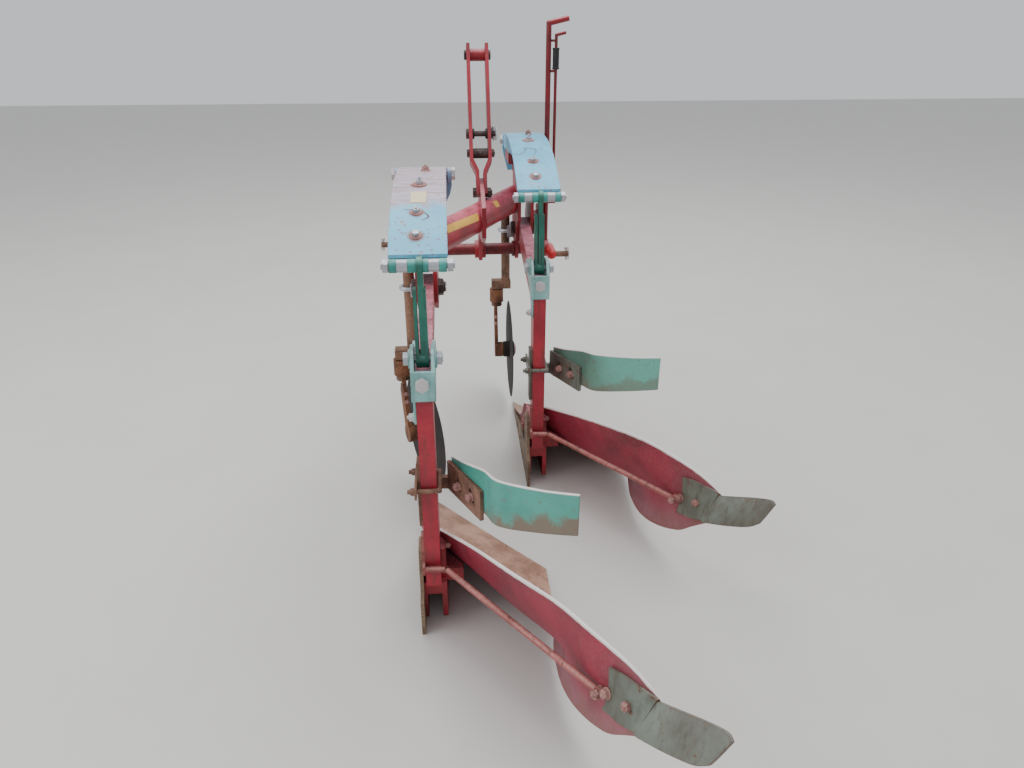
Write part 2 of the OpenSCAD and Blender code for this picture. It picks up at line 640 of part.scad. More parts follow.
lean = atan2(top_y - stock_bolt[0], top_z - stock_bolt[1]);
bar_len = norm([top_y - stock_bolt[0], top_z - stock_bolt[1]]);
bar_gap = 26;
pin_w = 204;
mid_w = 136;
module mast_bar(s) {
  t = stock_t / 2;
  g = bar_gap;
  strip = [[t, -10], [t, 70], [g, 112], [g, bar_len + 30], [g + bar_t, bar_len + 30], [g + bar_t, 106], [t + bar_t, 64],
    [t + bar_t, -10]];
  pts = [for (p = strip) [s * p[0], p[1]]];
  color("firebrick") unit(1) translate([stock_x, stock_bolt[0], stock_bolt[1]]) rotate([-lean, 0, 0]) difference() {
    translate([0, bar_w / 2, 0]) rotate([90, 0, 0]) linear_extrude(bar_w) polygon(s > 0 ? pts : flip(pts));
    bar_x(-60, 60, 0, 0, 20 + 2 * fit);
    bar_x(-60, 60, 0, mid_w, 16 + 2 * fit);
    bar_x(-60, 60, 0, pin_w, top_pin_d + 2 * fit);
    bar_x(-60, 60, 0, bar_len, 24 + 2 * fit);
  }
}
module mast_at(w) {
  unit(1) translate([stock_x, stock_bolt[0] + w * sin(lean), stock_bolt[1] + w * cos(lean)]) children();
}
module mast_spacer() {
  color("firebrick") mast_at(bar_len) difference() {
    bar_x(-bar_gap, bar_gap, 0, 0, 40);
    bar_x(-bar_gap - 1, bar_gap + 1, 0, 0, 24 + 2 * fit);
  }
}
module mast_bolts() {
  color("dimgray") {
    mast_at(0) {
      bar_x(-stock_t / 2 - bar_t, stock_t / 2 + bar_t + 18, 0, 0, 20);
      hex_x(-stock_t / 2 - bar_t - 12, -stock_t / 2 - bar_t, 0, 0, 30);
      hex_x(stock_t / 2 + bar_t, stock_t / 2 + bar_t + 14, 0, 0, 30);
    }
    mast_at(mid_w) {
      bar_x(-bar_gap - bar_t, bar_gap + bar_t + 12, 0, 0, 16);
      hex_x(-bar_gap - bar_t - 9, -bar_gap - bar_t, 0, 0, 24);
      hex_x(bar_gap + bar_t, bar_gap + bar_t + 10, 0, 0, 24);
      bar_x(-bar_gap + 1, bar_gap - 1, 0, 0, 34);
    }
    mast_at(bar_len) {
      bar_x(-bar_gap - bar_t - 8, bar_gap + bar_t + 8, 0, 0, 24);
      bar_x(-bar_gap - bar_t - 8, -bar_gap - bar_t, 0, 0, 32);
      bar_x(bar_gap + bar_t, bar_gap + bar_t + 8, 0, 0, 32);
    }
  }
}
module top_link_pin() {
  color("silver") mast_at(pin_w) {
    bar_x(-bar_gap - bar_t, bar_gap + bar_t + 20, 0, 0, top_pin_d);
    bar_x(-bar_gap - bar_t - 10, -bar_gap - bar_t, 0, 0, 34);
  }
}

module cross_shaft() {
  w = 22;
  color("maroon") unit(1) {
    bar_x(shaft_left, shaft_right, shaft_y, shaft_z, shaft_d);
    side(shaft_right, shaft_right + w) crank_outline(-1);
    side(shaft_left - w, shaft_left) crank_outline(1);
    bar_x(shaft_right + w, shaft_right + w + link_pin_len, shaft_y - crank, shaft_z, link_pin_d);
    bar_x(shaft_left - w - link_pin_len, shaft_left - w, shaft_y + crank, shaft_z, link_pin_d);
    bar_x(hb + head_t + 1, hb + head_t + 12, shaft_y, shaft_z, shaft_d + 16);
    bar_x(-hb - head_t - 12, -hb - head_t - 1, shaft_y, shaft_z, shaft_d + 16);
  }
}
module crank_outline(s) {
  translate([shaft_y, shaft_z]) circle(d = shaft_d + 10);
  translate([shaft_y + s * crank, shaft_z]) circle(d = 48);
  polygon([[shaft_y, shaft_z - 24], [shaft_y + s * crank, shaft_z - 20], [shaft_y + s * crank, shaft_z + 20], [shaft_y, shaft_z + 24]]);
}
lever_foot = shaft_z + shaft_d / 2 - 4;
module hand_lever() {
  color("firebrick") unit(1) {
    difference() {
      bar_x(lever_x - 12, lever_x + 12, shaft_y, shaft_z, shaft_d + 22);
      bar_x(lever_x - 20, lever_x + 20, shaft_y, shaft_z, shaft_d + 2 * fit);
    }
    rod([lever_x, shaft_y, shaft_z + 30], [lever_x, shaft_y, lever_top_z], lever_d);
    elbow([lever_x, shaft_y, lever_top_z], lever_d);
    rod([lever_x, shaft_y, lever_top_z], [lever_x + 70, shaft_y, lever_top_z + 16], lever_d);
  }
}
latch_x = lever_x + 27;
latch_top_z = lever_top_z - 38;
quad_r = 172;
latch_foot_z = shaft_z + quad_r + 14;
module latch_rod() {
  color("dimgray") unit(1) {
    rod([latch_x, shaft_y, latch_foot_z], [latch_x, shaft_y, latch_top_z], 11);
    translate([latch_x, shaft_y, latch_top_z - 112]) cylinder(h = 70, d = 22);
    elbow([latch_x, shaft_y, latch_top_z], 11);
    rod([latch_x, shaft_y, latch_top_z], [latch_x + 34, shaft_y, latch_top_z + 8], 11);
    for (z = [latch_foot_z + 76, latch_top_z - 122, latch_top_z - 22]) translate([lever_x + lever_d / 2 + clr, shaft_y - 8, z]) cube([latch_x - lever_x - lever_d / 2 + 4, 16, 8]);
    translate([62, shaft_y - 28, latch_foot_z - 6]) cube([latch_x - 62 + 6, 16, 12]);
    translate([latch_x - 6, shaft_y - 28, latch_foot_z - 6]) cube([12, 34, 12]);
  }
}
module quadrant() {
  rim = arc([shaft_y, shaft_z], quad_r, 62, 128, 12);
  color("firebrick") unit(1) {
    side(56, 64) polygon(concat(rim, [[shaft_y - 58, shaft_z + 40], [shaft_y - 40, shaft_z + 46], [shaft_y + 36, shaft_z + 60]]));
    side(hb + head_t, 64) polygon([[shaft_y - 40, shaft_z + 110], [shaft_y + 30, shaft_z + 130], [shaft_y + 20, shaft_z + 145], [shaft_y - 44, shaft_z + 126]]);
  }
}

main_tube();
headstock_plate();
mast_bar(-1);  // mast_bar_left
mast_bar(1);  // mast_bar_right
mast_spacer();
top_link_pin();
mast_bolts();
cross_shaft();
hand_lever();
latch_rod();
quadrant();
unit(0) head(0);  // rear_head
unit(0) pivot_bolt();  // rear_pivot_bolt
unit(0) beam();  // rear_beam
unit(0) main_leaf();  // rear_main_leaf
unit(0) short_leaves();  // rear_short_leaves
unit(0) hinge_bracket();  // rear_hinge_bracket
unit(0) hinge_rollers();  // rear_hinge_rollers
unit(0) hinge_pin();  // rear_hinge_pin
unit(0) link();  // rear_link
unit(0) link_bracket();  // rear_link_bracket
unit(0) link_bolt();  // rear_link_bolt
unit(0) frog();  // rear_frog
unit(0) landside();  // rear_landside
unit(0) share();  // rear_share
unit(0) mouldboard();  // rear_mouldboard
unit(0) tail_piece();  // rear_tail_piece
unit(0) stay_rod();  // rear_stay_rod
unit(0) trash_bracket();  // rear_trash_bracket
unit(0) trash_board();  // rear_trash_board
unit(0) coulter_stem();  // rear_coulter_stem
unit(0) coulter_clamp();  // rear_coulter_clamp
unit(0) swung(0) coulter_arm();  // rear_coulter_arm
unit(0) swung(0) disc();  // rear_disc
unit(1) head(1);  // front_head
unit(1) pivot_bolt();  // front_pivot_bolt
unit(1) beam();  // front_beam
unit(1) main_leaf();  // front_main_leaf
unit(1) short_leaves();  // front_short_leaves
unit(1) hinge_bracket();  // front_hinge_bracket
unit(1) hinge_rollers();  // front_hinge_rollers
unit(1) hinge_pin();  // front_hinge_pin
unit(1) link();  // front_link
unit(1) link_bracket();  // front_link_bracket
unit(1) link_bolt();  // front_link_bolt
unit(1) frog();  // front_frog
unit(1) landside();  // front_landside
unit(1) share();  // front_share
unit(1) mouldboard();  // front_mouldboard
unit(1) tail_piece();  // front_tail_piece
unit(1) stay_rod();  // front_stay_rod
unit(1) trash_bracket();  // front_trash_bracket
unit(1) trash_board();  // front_trash_board
unit(1) coulter_stem();  // front_coulter_stem
unit(1) coulter_clamp();  // front_coulter_clamp
unit(1) swung(1) coulter_arm();  // front_coulter_arm
unit(1) swung(1) disc();  // front_disc
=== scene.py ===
"""Looks of a mounted two-furrow mouldboard plough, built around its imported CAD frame.

+Y is the direction of travel, +X the furrow side and +Z up. A unit is one furrow's beam with all
that hangs on it, and its pieces are placed in millimetres from the unit's own datum. The meshes come
out in metres in the frame of the part, and each class says which of its sizes are in metres.
"""

import json
import logging
import math
import random
import sys
from dataclasses import dataclass, field
from enum import Enum

import bmesh
import bpy
from mathutils import Matrix, Vector

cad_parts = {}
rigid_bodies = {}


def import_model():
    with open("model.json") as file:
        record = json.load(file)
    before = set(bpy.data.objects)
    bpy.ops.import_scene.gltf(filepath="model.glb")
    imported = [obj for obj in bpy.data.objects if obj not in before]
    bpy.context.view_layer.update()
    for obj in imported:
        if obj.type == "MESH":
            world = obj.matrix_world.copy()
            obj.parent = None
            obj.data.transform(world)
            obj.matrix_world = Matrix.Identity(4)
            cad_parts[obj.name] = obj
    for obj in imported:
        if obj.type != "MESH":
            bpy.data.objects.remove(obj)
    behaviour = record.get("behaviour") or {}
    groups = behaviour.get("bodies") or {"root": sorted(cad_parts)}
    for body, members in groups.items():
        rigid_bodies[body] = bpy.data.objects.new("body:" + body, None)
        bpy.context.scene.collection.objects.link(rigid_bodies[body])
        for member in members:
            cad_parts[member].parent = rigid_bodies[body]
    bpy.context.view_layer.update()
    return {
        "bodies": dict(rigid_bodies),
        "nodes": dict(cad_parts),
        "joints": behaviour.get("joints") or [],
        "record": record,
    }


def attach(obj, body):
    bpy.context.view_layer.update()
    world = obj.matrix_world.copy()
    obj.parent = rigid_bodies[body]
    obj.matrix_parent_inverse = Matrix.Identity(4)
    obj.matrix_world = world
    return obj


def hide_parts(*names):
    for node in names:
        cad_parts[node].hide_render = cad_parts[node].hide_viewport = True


LOG = logging.getLogger("plough")
SEED = 7
MM_PER_M = 1000.0

# Directions in the frame of the part.
RIGHT = Vector((1.0, 0.0, 0.0))
LEFT = Vector((-1.0, 0.0, 0.0))
BACKWARD = Vector((0.0, -1.0, 0.0))
UP = Vector((0.0, 0.0, 1.0))

# Sockets of the node that mixes two colours.
MIX_SHARE = 0
MIX_FIRST = 6
MIX_SECOND = 7
MIX_RESULT = 2

# The common nut of the plough, in metres: width over its flats, its washer and the thread beyond it.
NUT_FLATS = 0.019
NUT_WASHER = 0.026
THREAD_END = 0.004

Colour = tuple[float, float, float]
Point = tuple[float, float, float]
Socket = bpy.types.NodeSocket


class Unit(Enum):
    """The two furrow units, with the datum of each in metres in the frame of the part."""

    REAR = ("rear", (-0.339, -0.446, 0.0))
    FRONT = ("front", (0.016, 0.257, 0.0))

    @property
    def key(self) -> str:
        """The word that the unit's node names start with."""
        return self.value[0]

    @property
    def datum(self) -> Vector:
        """The unit's own origin."""
        return Vector(self.value[1])

    def node(self, name: str) -> str:
        """The full name of one of the unit's CAD nodes."""
        return f"{self.key}_{name}"

    def at(self, x: float, y: float, z: float) -> Vector:
        """A point given in millimetres from the unit's datum, in metres in the frame."""
        return self.datum + Vector((x, y, z)) / MM_PER_M

    def pick(self, pair: tuple[float, float]) -> float:
        """The rear unit's or the front unit's one of two values."""
        return pair[self is Unit.FRONT]


def shares(count: int) -> list[float]:
    """Even shares from 0 to 1, both included, so one more than the count."""
    return [i / count for i in range(count + 1)]


def srgb(red: int, green: int, blue: int) -> Colour:
    """Turns a colour from the 0 to 255 scale of a screen into linear light.

    Args:
        red: Red as a screen shows it.
        green: Green as a screen shows it.
        blue: Blue as a screen shows it.

    Returns:
        The same colour as linear red, green and blue.
    """
    def one(value: int) -> float:
        """One channel as linear light."""
        share = value / 255.0
        return share / 12.92 if share <= 0.04045 else ((share + 0.055) / 1.055) ** 2.4

    return one(red), one(green), one(blue)


class Graph:
    """A material's node tree with short calls for the nodes that the finishes use.

    The two cosines say how far a rounded normal leans from the real one on a flat face and on an edge.
    """

    flat_cosine = 0.995
    edge_cosine = 0.80

    def __init__(self, name: str) -> None:
        """Starts an empty material.

        Args:
            name: The material's name.
        """
        self.material = bpy.data.materials.new(name)
        self.material.use_nodes = True
        self.tree = self.material.node_tree
        self.tree.nodes.clear()
        self.output = self.tree.nodes.new("ShaderNodeOutputMaterial")
        coordinates = self.tree.nodes.new("ShaderNodeTexCoord")
        self.place = coordinates.outputs["Object"]
        geometry = self.tree.nodes.new("ShaderNodeNewGeometry")
        self.normal = geometry.outputs["Normal"]

    def put(self, socket: Socket, value: object) -> None:
        """Links a socket to another or sets its number or colour.

        Args:
            socket: The input to fill.
            value: A socket, a number, or a colour of three or four numbers.
        """
        if isinstance(value, bpy.types.NodeSocket):
            self.tree.links.new(value, socket)
        elif isinstance(value, (int, float)):
            socket.default_value = value
        else:
            filled = list(value)
            if socket.type == "RGBA" and len(filled) == 3:
                filled.append(1.0)
            socket.default_value = filled

    def stretched(self, scale: Point) -> Socket:
        """Object coordinates scaled unevenly.

        Args:
            scale: Scale along X, Y and Z.

        Returns:
            The scaled coordinates.
        """
        node = self.tree.nodes.new("ShaderNodeMapping")
        self.put(node.inputs["Vector"], self.place)
        self.put(node.inputs["Scale"], scale)
        return node.outputs["Vector"]

    def noise(self, scale: float, detail: float = 4.0, rough: float = 0.55, warp: float = 0.0,
              place: Socket | None = None) -> Socket:
        """Fractal noise in object space.

        Args:
            scale: Cells per metre.
            detail: Octaves.
            rough: Weight of the finer octaves.
            warp: Distortion.
            place: Coordinates, or None for the object's own.

        Returns:
            The noise, about 0 to 1.
        """
        node = self.tree.nodes.new("ShaderNodeTexNoise")
        self.put(node.inputs["Vector"], place or self.place)
        self.put(node.inputs["Scale"], scale)
        self.put(node.inputs["Detail"], detail)
        self.put(node.inputs["Roughness"], rough)
        self.put(node.inputs["Distortion"], warp)
        return node.outputs["Fac"]

    def cells(self, scale: float, spread: float = 1.0) -> Socket:
        """Distance to the nearest of scattered points.

        Args:
            scale: Points per metre.
            spread: How irregular they lie.

        Returns:
            The distance, in cells.
        """
        node = self.tree.nodes.new("ShaderNodeTexVoronoi")
        self.put(node.inputs["Vector"], self.place)
        self.put(node.inputs["Scale"], scale)
        self.put(node.inputs["Randomness"], spread)
        return node.outputs["Distance"]

    def sum(self, kind: str, first: object, second: object = 0.0, third: object = 0.0) -> Socket:
        """One step of arithmetic.

        Args:
            kind: The operation's Blender name.
            first: First value.
            second: Second value.
            third: Third value, where the operation has one.

        Returns:
            The result.
        """
        node = self.tree.nodes.new("ShaderNodeMath")
        node.operation = kind
        for socket, value in zip(node.inputs, (first, second, third)):
            self.put(socket, value)
        return node.outputs[0]

    def step(self, value: Socket, low: float, high: float) -> Socket:
        """A soft step from 0 at low to 1 at high.

        Args:
            value: What is compared.
            low: Where the step starts.
            high: Where the step ends; below low for a falling step.

        Returns:
            The step, 0 to 1.
        """
        node = self.tree.nodes.new("ShaderNodeMapRange")
        node.interpolation_type = "SMOOTHSTEP"
        self.put(node.inputs["Value"], value)
        rising = high >= low
        self.put(node.inputs["From Min"], low if rising else high)
        self.put(node.inputs["From Max"], high if rising else low)
        self.put(node.inputs["To Min"], 0.0 if rising else 1.0)
        self.put(node.inputs["To Max"], 1.0 if rising else 0.0)
        return node.outputs["Result"]

    def mix(self, share: object, first: object, second: object) -> Socket:
        """Mixes two colours.

        Args:
            share: Share of the second, 0 to 1.
            first: Colour at 0.
            second: Colour at 1.

        Returns:
            The mixed colour.
        """
        node = self.tree.nodes.new("ShaderNodeMix")
        node.data_type = "RGBA"
        self.put(node.inputs[MIX_SHARE], share)
        self.put(node.inputs[MIX_FIRST], first)
        self.put(node.inputs[MIX_SECOND], second)
        return node.outputs[MIX_RESULT]

    def axis(self, vector: Socket, name: str) -> Socket:
        """One part of a vector.

        Args:
            vector: The vector.
            name: X, Y or Z.

        Returns:
            That part.
        """
        node = self.tree.nodes.new("ShaderNodeSeparateXYZ")
        self.put(node.inputs[0], vector)
        return node.outputs[name]

    def edges(self, radius: float) -> Socket:
        """How near a point is to a sharp edge, 0 on a flat face and towards 1 on an edge.

        Args:
            radius: Reach of the edge, in metres.

        Returns:
            The nearness.
        """
        bevel = self.tree.nodes.new("ShaderNodeBevel")
        bevel.samples = 3
        self.put(bevel.inputs["Radius"], radius)
        dot = self.tree.nodes.new("ShaderNodeVectorMath")
        dot.operation = "DOT_PRODUCT"
        self.put(dot.inputs[0], bevel.outputs["Normal"])
        self.put(dot.inputs[1], self.normal)
        return self.step(dot.outputs["Value"], self.flat_cosine, self.edge_cosine)

    def attribute(self, name: str) -> Socket:
        """A number kept on a mesh's points.

        Args:
            name: The attribute's name.

        Returns:
            Its value.
        """
        node = self.tree.nodes.new("ShaderNodeAttribute")
        node.attribute_name = name
        return node.outputs["Fac"]

    def near(self, spot: Vector) -> Socket:
        """How far a point is from a place on the part.

        Args:
            spot: The place, in the frame.

        Returns:
            The distance, in metres.
        """
        node = self.tree.nodes.new("ShaderNodeVectorMath")
        node.operation = "DISTANCE"
        self.put(node.inputs[0], self.place)
        self.put(node.inputs[1], tuple(spot))
        return node.outputs["Value"]

    def shade(self, colour: object, rough: object, metal: object = 0.0, height: Socket | None = None,
              depth: float = 0.0006, gloss: float = 0.5, round_by: float = 0.0) -> bpy.types.Material:
        """Ends the tree in a shader.

        Args:
            colour: Base colour.
            rough: Roughness.
            metal: How metallic it is.
            height: Height for the bump, 0 to 1, or None.
            depth: Metres from the lowest to the highest bump.
            gloss: Specular level.
            round_by: Metres over which sharp edges catch the light as rounded ones do, or 0.

        Returns:
            The finished material.
        """
        shader = self.tree.nodes.new("ShaderNodeBsdfPrincipled")
        self.put(shader.inputs["Base Color"], colour)
        self.put(shader.inputs["Roughness"], rough)
        self.put(shader.inputs["Metallic"], metal)
        shader.inputs["Specular IOR Level"].default_value = gloss
        if height is not None:
            bump = self.tree.nodes.new("ShaderNodeBump")
            bump.inputs["Strength"].default_value = 1.0
            bump.inputs["Distance"].default_value = depth
            self.put(bump.inputs["Height"], height)
            if round_by:
                rounded = self.tree.nodes.new("ShaderNodeBevel")
                rounded.samples = 4
                rounded.inputs["Radius"].default_value = round_by
                self.put(bump.inputs["Normal"], rounded.outputs["Normal"])
            self.put(shader.inputs["Normal"], bump.outputs["Normal"])
        self.tree.links.new(shader.outputs[0], self.output.inputs["Surface"])
        return self.material


@dataclass(frozen=True)
class Paint:
    """Old paint on steel: mottled, paler on upward faces as painted sky glare, chipped to rust and rubbed at
    its edges.
    """

    name: str
    colour: Colour
    deep: Colour
    # The pale colour, and how strongly upward faces take it, are painted sky glare: a painted reflection of
    # the sky.
    faded: Colour
    fade_up: float = 0.5
    chips: float = 0.30
    edge_wear: float = 0.6
    grime: float = 0.3
    rough: float = 0.42
    rust: Colour = srgb(120, 62, 38)
    bare: Colour = srgb(96, 78, 68)
    grime_colour: Colour = srgb(74, 62, 50)

    def build(self) -> bpy.types.Material:
        """Makes the finish.

        Returns:
            The material.
        """
        g = Graph(self.name)
        broad = g.noise(7.0, 5.0, 0.6)
        fine = g.noise(90.0, 6.0, 0.65)
        paint = g.mix(g.step(broad, 0.32, 0.70), self.colour, self.deep)
        # Painted sky glare: faces that look up turn towards the pale colour, in patches.
        up = g.step(g.axis(g.normal, "Z"), 0.15, 0.9)
        patch = g.step(g.noise(16.0, 5.0, 0.6), 0.25, 0.65)
        skyward = g.sum("MULTIPLY", up, self.fade_up)
        faded = g.sum("MULTIPLY", skyward, g.sum("MULTIPLY_ADD", patch, 0.6, 0.4))
        paint = g.mix(faded, paint, self.faded)
        paint = g.mix(g.sum("MULTIPLY", g.step(fine, 0.42, 0.75), 0.35), paint, self.deep)
        streaks = g.noise(1.0, 5.0, 0.6, place=g.stretched((60.0, 60.0, 7.0)))
        grime = g.sum("MULTIPLY", g.step(streaks, 0.46, 0.72), self.grime)
        paint = g.mix(grime, paint, self.grime_colour)
        edge = g.sum("MULTIPLY", g.edges(0.004), self.edge_wear)
        chip_noise = g.noise(38.0, 9.0, 0.68, 0.4)
        limit = 0.74 - 0.16 * self.chips
        worn = g.step(g.sum("MULTIPLY_ADD", edge, 0.24, chip_noise), limit, limit + 0.025)
        halo = g.step(g.sum("MULTIPLY_ADD", edge, 0.24, chip_noise), limit - 0.06, limit + 0.02)
        under = g.mix(g.step(g.noise(120.0, 5.0), 0.4, 0.6), self.rust, self.bare)
        stained = g.mix(g.sum("MULTIPLY", halo, 0.35), paint, self.rust)
        colour = g.mix(worn, stained, under)
        rough = g.sum("MULTIPLY_ADD", worn, 0.35, g.sum("MULTIPLY_ADD", fine, 0.16, self.rough - 0.08))
        height = g.sum("MULTIPLY_ADD", worn, -0.55, g.sum("MULTIPLY", fine, 0.35))
        return g.shade(colour, rough, 0.0, height, 0.0005, round_by=0.0012)


@dataclass(frozen=True)
class LeafPaint:
    """Sky blue paint of the leaves: rust round the bolts, scratches, specks, and a far half that fades.

    The bolts and the start of the fade are places along the unit, in millimetres.
    """

    name: str
    unit: Unit
    bolts: tuple[float, ...]
    faded_from: float = 2000.0
    wear: float = 1.0
    sky: Colour = srgb(118, 200, 232)
    deep: Colour = srgb(92, 176, 212)
    pale: Colour = srgb(168, 218, 236)
    lilac: Colour = srgb(206, 188, 200)
    rose: Colour = srgb(184, 150, 152)
    rust: Colour = srgb(150, 88, 74)
    dark: Colour = srgb(78, 52, 46)

    def build(self) -> bpy.types.Material:
        """Makes the finish.

        Returns:
            The material.
        """
        g = Graph(self.name)
        fine = g.noise(150.0, 5.0, 0.65)
        paint = g.mix(g.step(g.noise(6.0, 4.0, 0.55), 0.34, 0.68), self.sky, self.deep)
        paint = g.mix(g.sum("MULTIPLY", g.step(fine, 0.5, 0.75), 0.35), paint, self.pale)
        start = self.unit.datum.y + self.faded_from / MM_PER_M
        along = g.sum("MULTIPLY_ADD", g.noise(16.0, 5.0, 0.6), 0.16, g.axis(g.place, "Y"))
        old = g.sum("MULTIPLY", g.step(along, start + 0.045, start + 0.115), 0.88)
        bands = g.noise(1.0, 5.0, 0.6, place=g.stretched((14.0, 90.0, 14.0)))
        dull = g.mix(g.step(bands, 0.42, 0.62), self.lilac, self.rose)
        paint = g.mix(old, paint, dull)
        patches = g.step(g.noise(13.0, 6.0, 0.66, 0.6), 0.55, 0.66)
        paint = g.mix(g.sum("MULTIPLY", patches, 0.7 * self.wear), paint, self.rose)
        rim = g.step(g.sum("MULTIPLY_ADD", g.edges(0.003), 0.3, g.noise(45.0, 7.0, 0.65)), 0.72, 0.78)
        paint = g.mix(g.sum("MULTIPLY", rim, 0.7), paint, self.rust)
        speck = g.sum("MULTIPLY", g.step(g.cells(62.0), 0.26, 0.12), g.step(g.noise(9.0, 3.0), 0.42, 0.52))
        paint = g.mix(g.sum("MULTIPLY", speck, 0.8), paint, self.rust)
        curl = g.sum("ABSOLUTE", g.sum("SUBTRACT", g.noise(4.6, 1.0, 0.3, 0.9), 0.5))
        scratch = g.sum("MULTIPLY", g.step(curl, 0.012, 0.003), g.step(g.noise(11.0, 2.0), 0.49, 0.56))
        paint = g.mix(g.sum("MULTIPLY", scratch, self.wear), paint, self.dark)
        for y in self.bolts:
            spot = self.unit.at(-5.0, y, leaf_height(y))
            ragged = g.sum("MULTIPLY_ADD", g.noise(60.0, 5.0, 0.6), 0.012, g.near(spot))
            paint = g.mix(g.sum("MULTIPLY", g.step(ragged, 0.031, 0.021), 0.85), paint, self.rust)
        rough = g.sum("MULTIPLY_ADD", fine, 0.2, 0.34)
        height = g.sum("MULTIPLY_ADD", scratch, -0.6, g.sum("MULTIPLY_ADD", speck, -0.4, fine))
        return g.shade(paint, rough, 0.0, height, 0.0003, round_by=0.0012)


@dataclass(frozen=True)
class BoardPaint:
    """A plate of the body by its own measures: rise across it, length along it, and its two sides.

    The side away from the soil is painted, the working side is rubbed to bare steel by the soil, and
    the upper edge is worn white.
    """

    name: str
    colour: Colour
    deep: Colour
    low: Colour
    tail: Colour
    working: Colour
    working_streak: Colour
    rust: Colour = srgb(132, 84, 66)
    rim: Colour = srgb(238, 232, 228)
    low_rust: float = 0.2
    low_share: float = 0.75
    tail_share: float = 0.6
    rim_from: float = 0.982

    def build(self) -> bpy.types.Material:
        """Makes the finish.

        Returns:
            The material.
        """
        g = Graph(self.name)
        rise, length, side = g.attribute("rise"), g.attribute("length"), g.attribute("side")
        broad = g.noise(8.0, 6.0, 0.62, 0.3)
        fine = g.noise(130.0, 6.0, 0.68)
        grain = g.noise(1.0, 5.0, 0.62, place=g.stretched((120.0, 26.0, 120.0)))
        paint = g.mix(g.step(broad, 0.34, 0.68), self.colour, self.deep)
        uneven = g.sum("MULTIPLY_ADD", broad, 0.5, rise)
        lower = g.sum("MULTIPLY", g.step(uneven, 0.80, 0.36), self.low_share)
        paint = g.mix(lower, paint, self.low)
        later = g.step(g.sum("MULTIPLY_ADD", g.noise(5.0, 4.0), 0.4, length), 0.72, 1.08)
        paint = g.mix(g.sum("MULTIPLY", later, self.tail_share), paint, self.tail)
        paint = g.mix(g.sum("MULTIPLY", g.step(fine, 0.42, 0.72), 0.34), paint, self.low)
        spots = g.step(g.noise(64.0, 8.0, 0.7, 0.5), 0.60, 0.66)
        paint = g.mix(g.sum("MULTIPLY", spots, 0.7), paint, self.rust)
        patchy = g.sum("MULTIPLY_ADD", g.noise(17.0, 6.0, 0.66, 0.8), 0.9, g.sum("MULTIPLY", length, 0.42))
        near_low = g.sum("MULTIPLY_ADD", rise, -0.62, patchy)
        paint = g.mix(g.sum("MULTIPLY", g.step(near_low, 0.50, 0.72), self.low_rust), paint, self.rust)
        bare = g.mix(g.step(grain, 0.38, 0.66), self.working, self.working_streak)
        bare = g.mix(g.sum("MULTIPLY", g.step(fine, 0.52, 0.74), 0.4), bare, self.rust)
        colour = g.mix(g.step(side, 0.45, 0.55), bare, paint)
        ragged = g.sum("MULTIPLY_ADD", g.noise(40.0, 4.0), 0.012, rise)
        white = g.step(ragged, self.rim_from + 0.004, self.rim_from + 0.012)
        colour = g.mix(g.sum("MULTIPLY", white, 0.9), colour, self.rim)
        rough = g.sum("MULTIPLY_ADD", fine, 0.25, 0.36)
        return g.shade(colour, rough, 0.0, g.sum("ADD", fine, g.sum("MULTIPLY", grain, 0.6)), 0.0005)


@dataclass(frozen=True)
class Rusted:
    """Steel that rusted over, with darker scale and lighter dust."""

    name: str
    dark: Colour
    middle: Colour
    light: Colour
    shine: float = 0.25
    rough: float = 0.62
    grain: float = 1.0

    def build(self) -> bpy.types.Material:
        """Makes the finish.

        Returns:
            The material.
        """
        g = Graph(self.name)
        broad = g.noise(11.0 * self.grain, 6.0, 0.65, 0.3)
        fine = g.noise(150.0 * self.grain, 5.0, 0.7)
        colour = g.mix(g.step(broad, 0.36, 0.62), self.dark, self.middle)
        colour = g.mix(g.sum("MULTIPLY", g.step(fine, 0.5, 0.72), 0.75), colour, self.light)
        edge = g.edges(0.003)
        colour = g.mix(g.sum("MULTIPLY", edge, 0.45), colour, self.light)
        metal = g.sum("MULTIPLY", g.step(broad, 0.62, 0.36), self.shine)
        rough = g.sum("MULTIPLY_ADD", fine, 0.25, self.rough - 0.12)
        return g.shade(colour, rough, metal, g.sum("ADD", fine, broad), 0.0006, round_by=0.001)


@dataclass(frozen=True)
class BareMetal:
    """Metal with its own gloss, dulled and spotted."""

    name: str
    colour: Colour
    stain: Colour
    stains: float = 0.4
    rough: float = 0.38
    metal: float = 0.6

    def build(self) -> bpy.types.Material:
        """Makes the finish.

        Returns:
            The material.
        """
        g = Graph(self.name)
        spots = g.noise(70.0, 7.0, 0.65, 0.5)
        brushed = g.noise(260.0, 3.0, 0.5)
        limit = 0.72 - 0.25 * self.stains
        stained = g.step(spots, limit, limit + 0.10)
        colour = g.mix(g.sum("MULTIPLY", brushed, 0.35), self.colour, self.stain)
        colour = g.mix(stained, colour, self.stain)
        metal = g.sum("MULTIPLY_ADD", stained, -0.7 * self.metal, self.metal)
        rough = g.sum("MULTIPLY_ADD", stained, 0.35, g.sum("MULTIPLY_ADD", brushed, 0.15, self.rough - 0.07))
        height = g.sum("MULTIPLY_ADD", stained, 0.5, brushed)
        return g.shade(colour, rough, metal, height, 0.0003, round_by=0.001)


@dataclass(frozen=True)
class StudioFloor:
    """The plain pale floor."""

    name: str = "studio_floor"

    def build(self) -> bpy.types.Material:
        """Makes the finish.

        Returns:
            The material.
        """
        g = Graph(self.name)
        cloud = g.noise(3.0, 3.0)
        colour = g.mix(cloud, srgb(205, 203, 198), srgb(214, 212, 208))
        return g.shade(colour, g.sum("MULTIPLY_ADD", cloud, 0.1, 0.75))


# The main leaf of a unit, in millimetres: the places along and up of its crown and its hinge pin, and
# how far its upper face lies over the pin's middle. The bend is the power of the distance from the crown
# by which it drops.
CROWN = (550.0, 1135.0)
HINGE = (100.0, 1012.0)
OVER_PIN = 11.4
BEND = 2.3


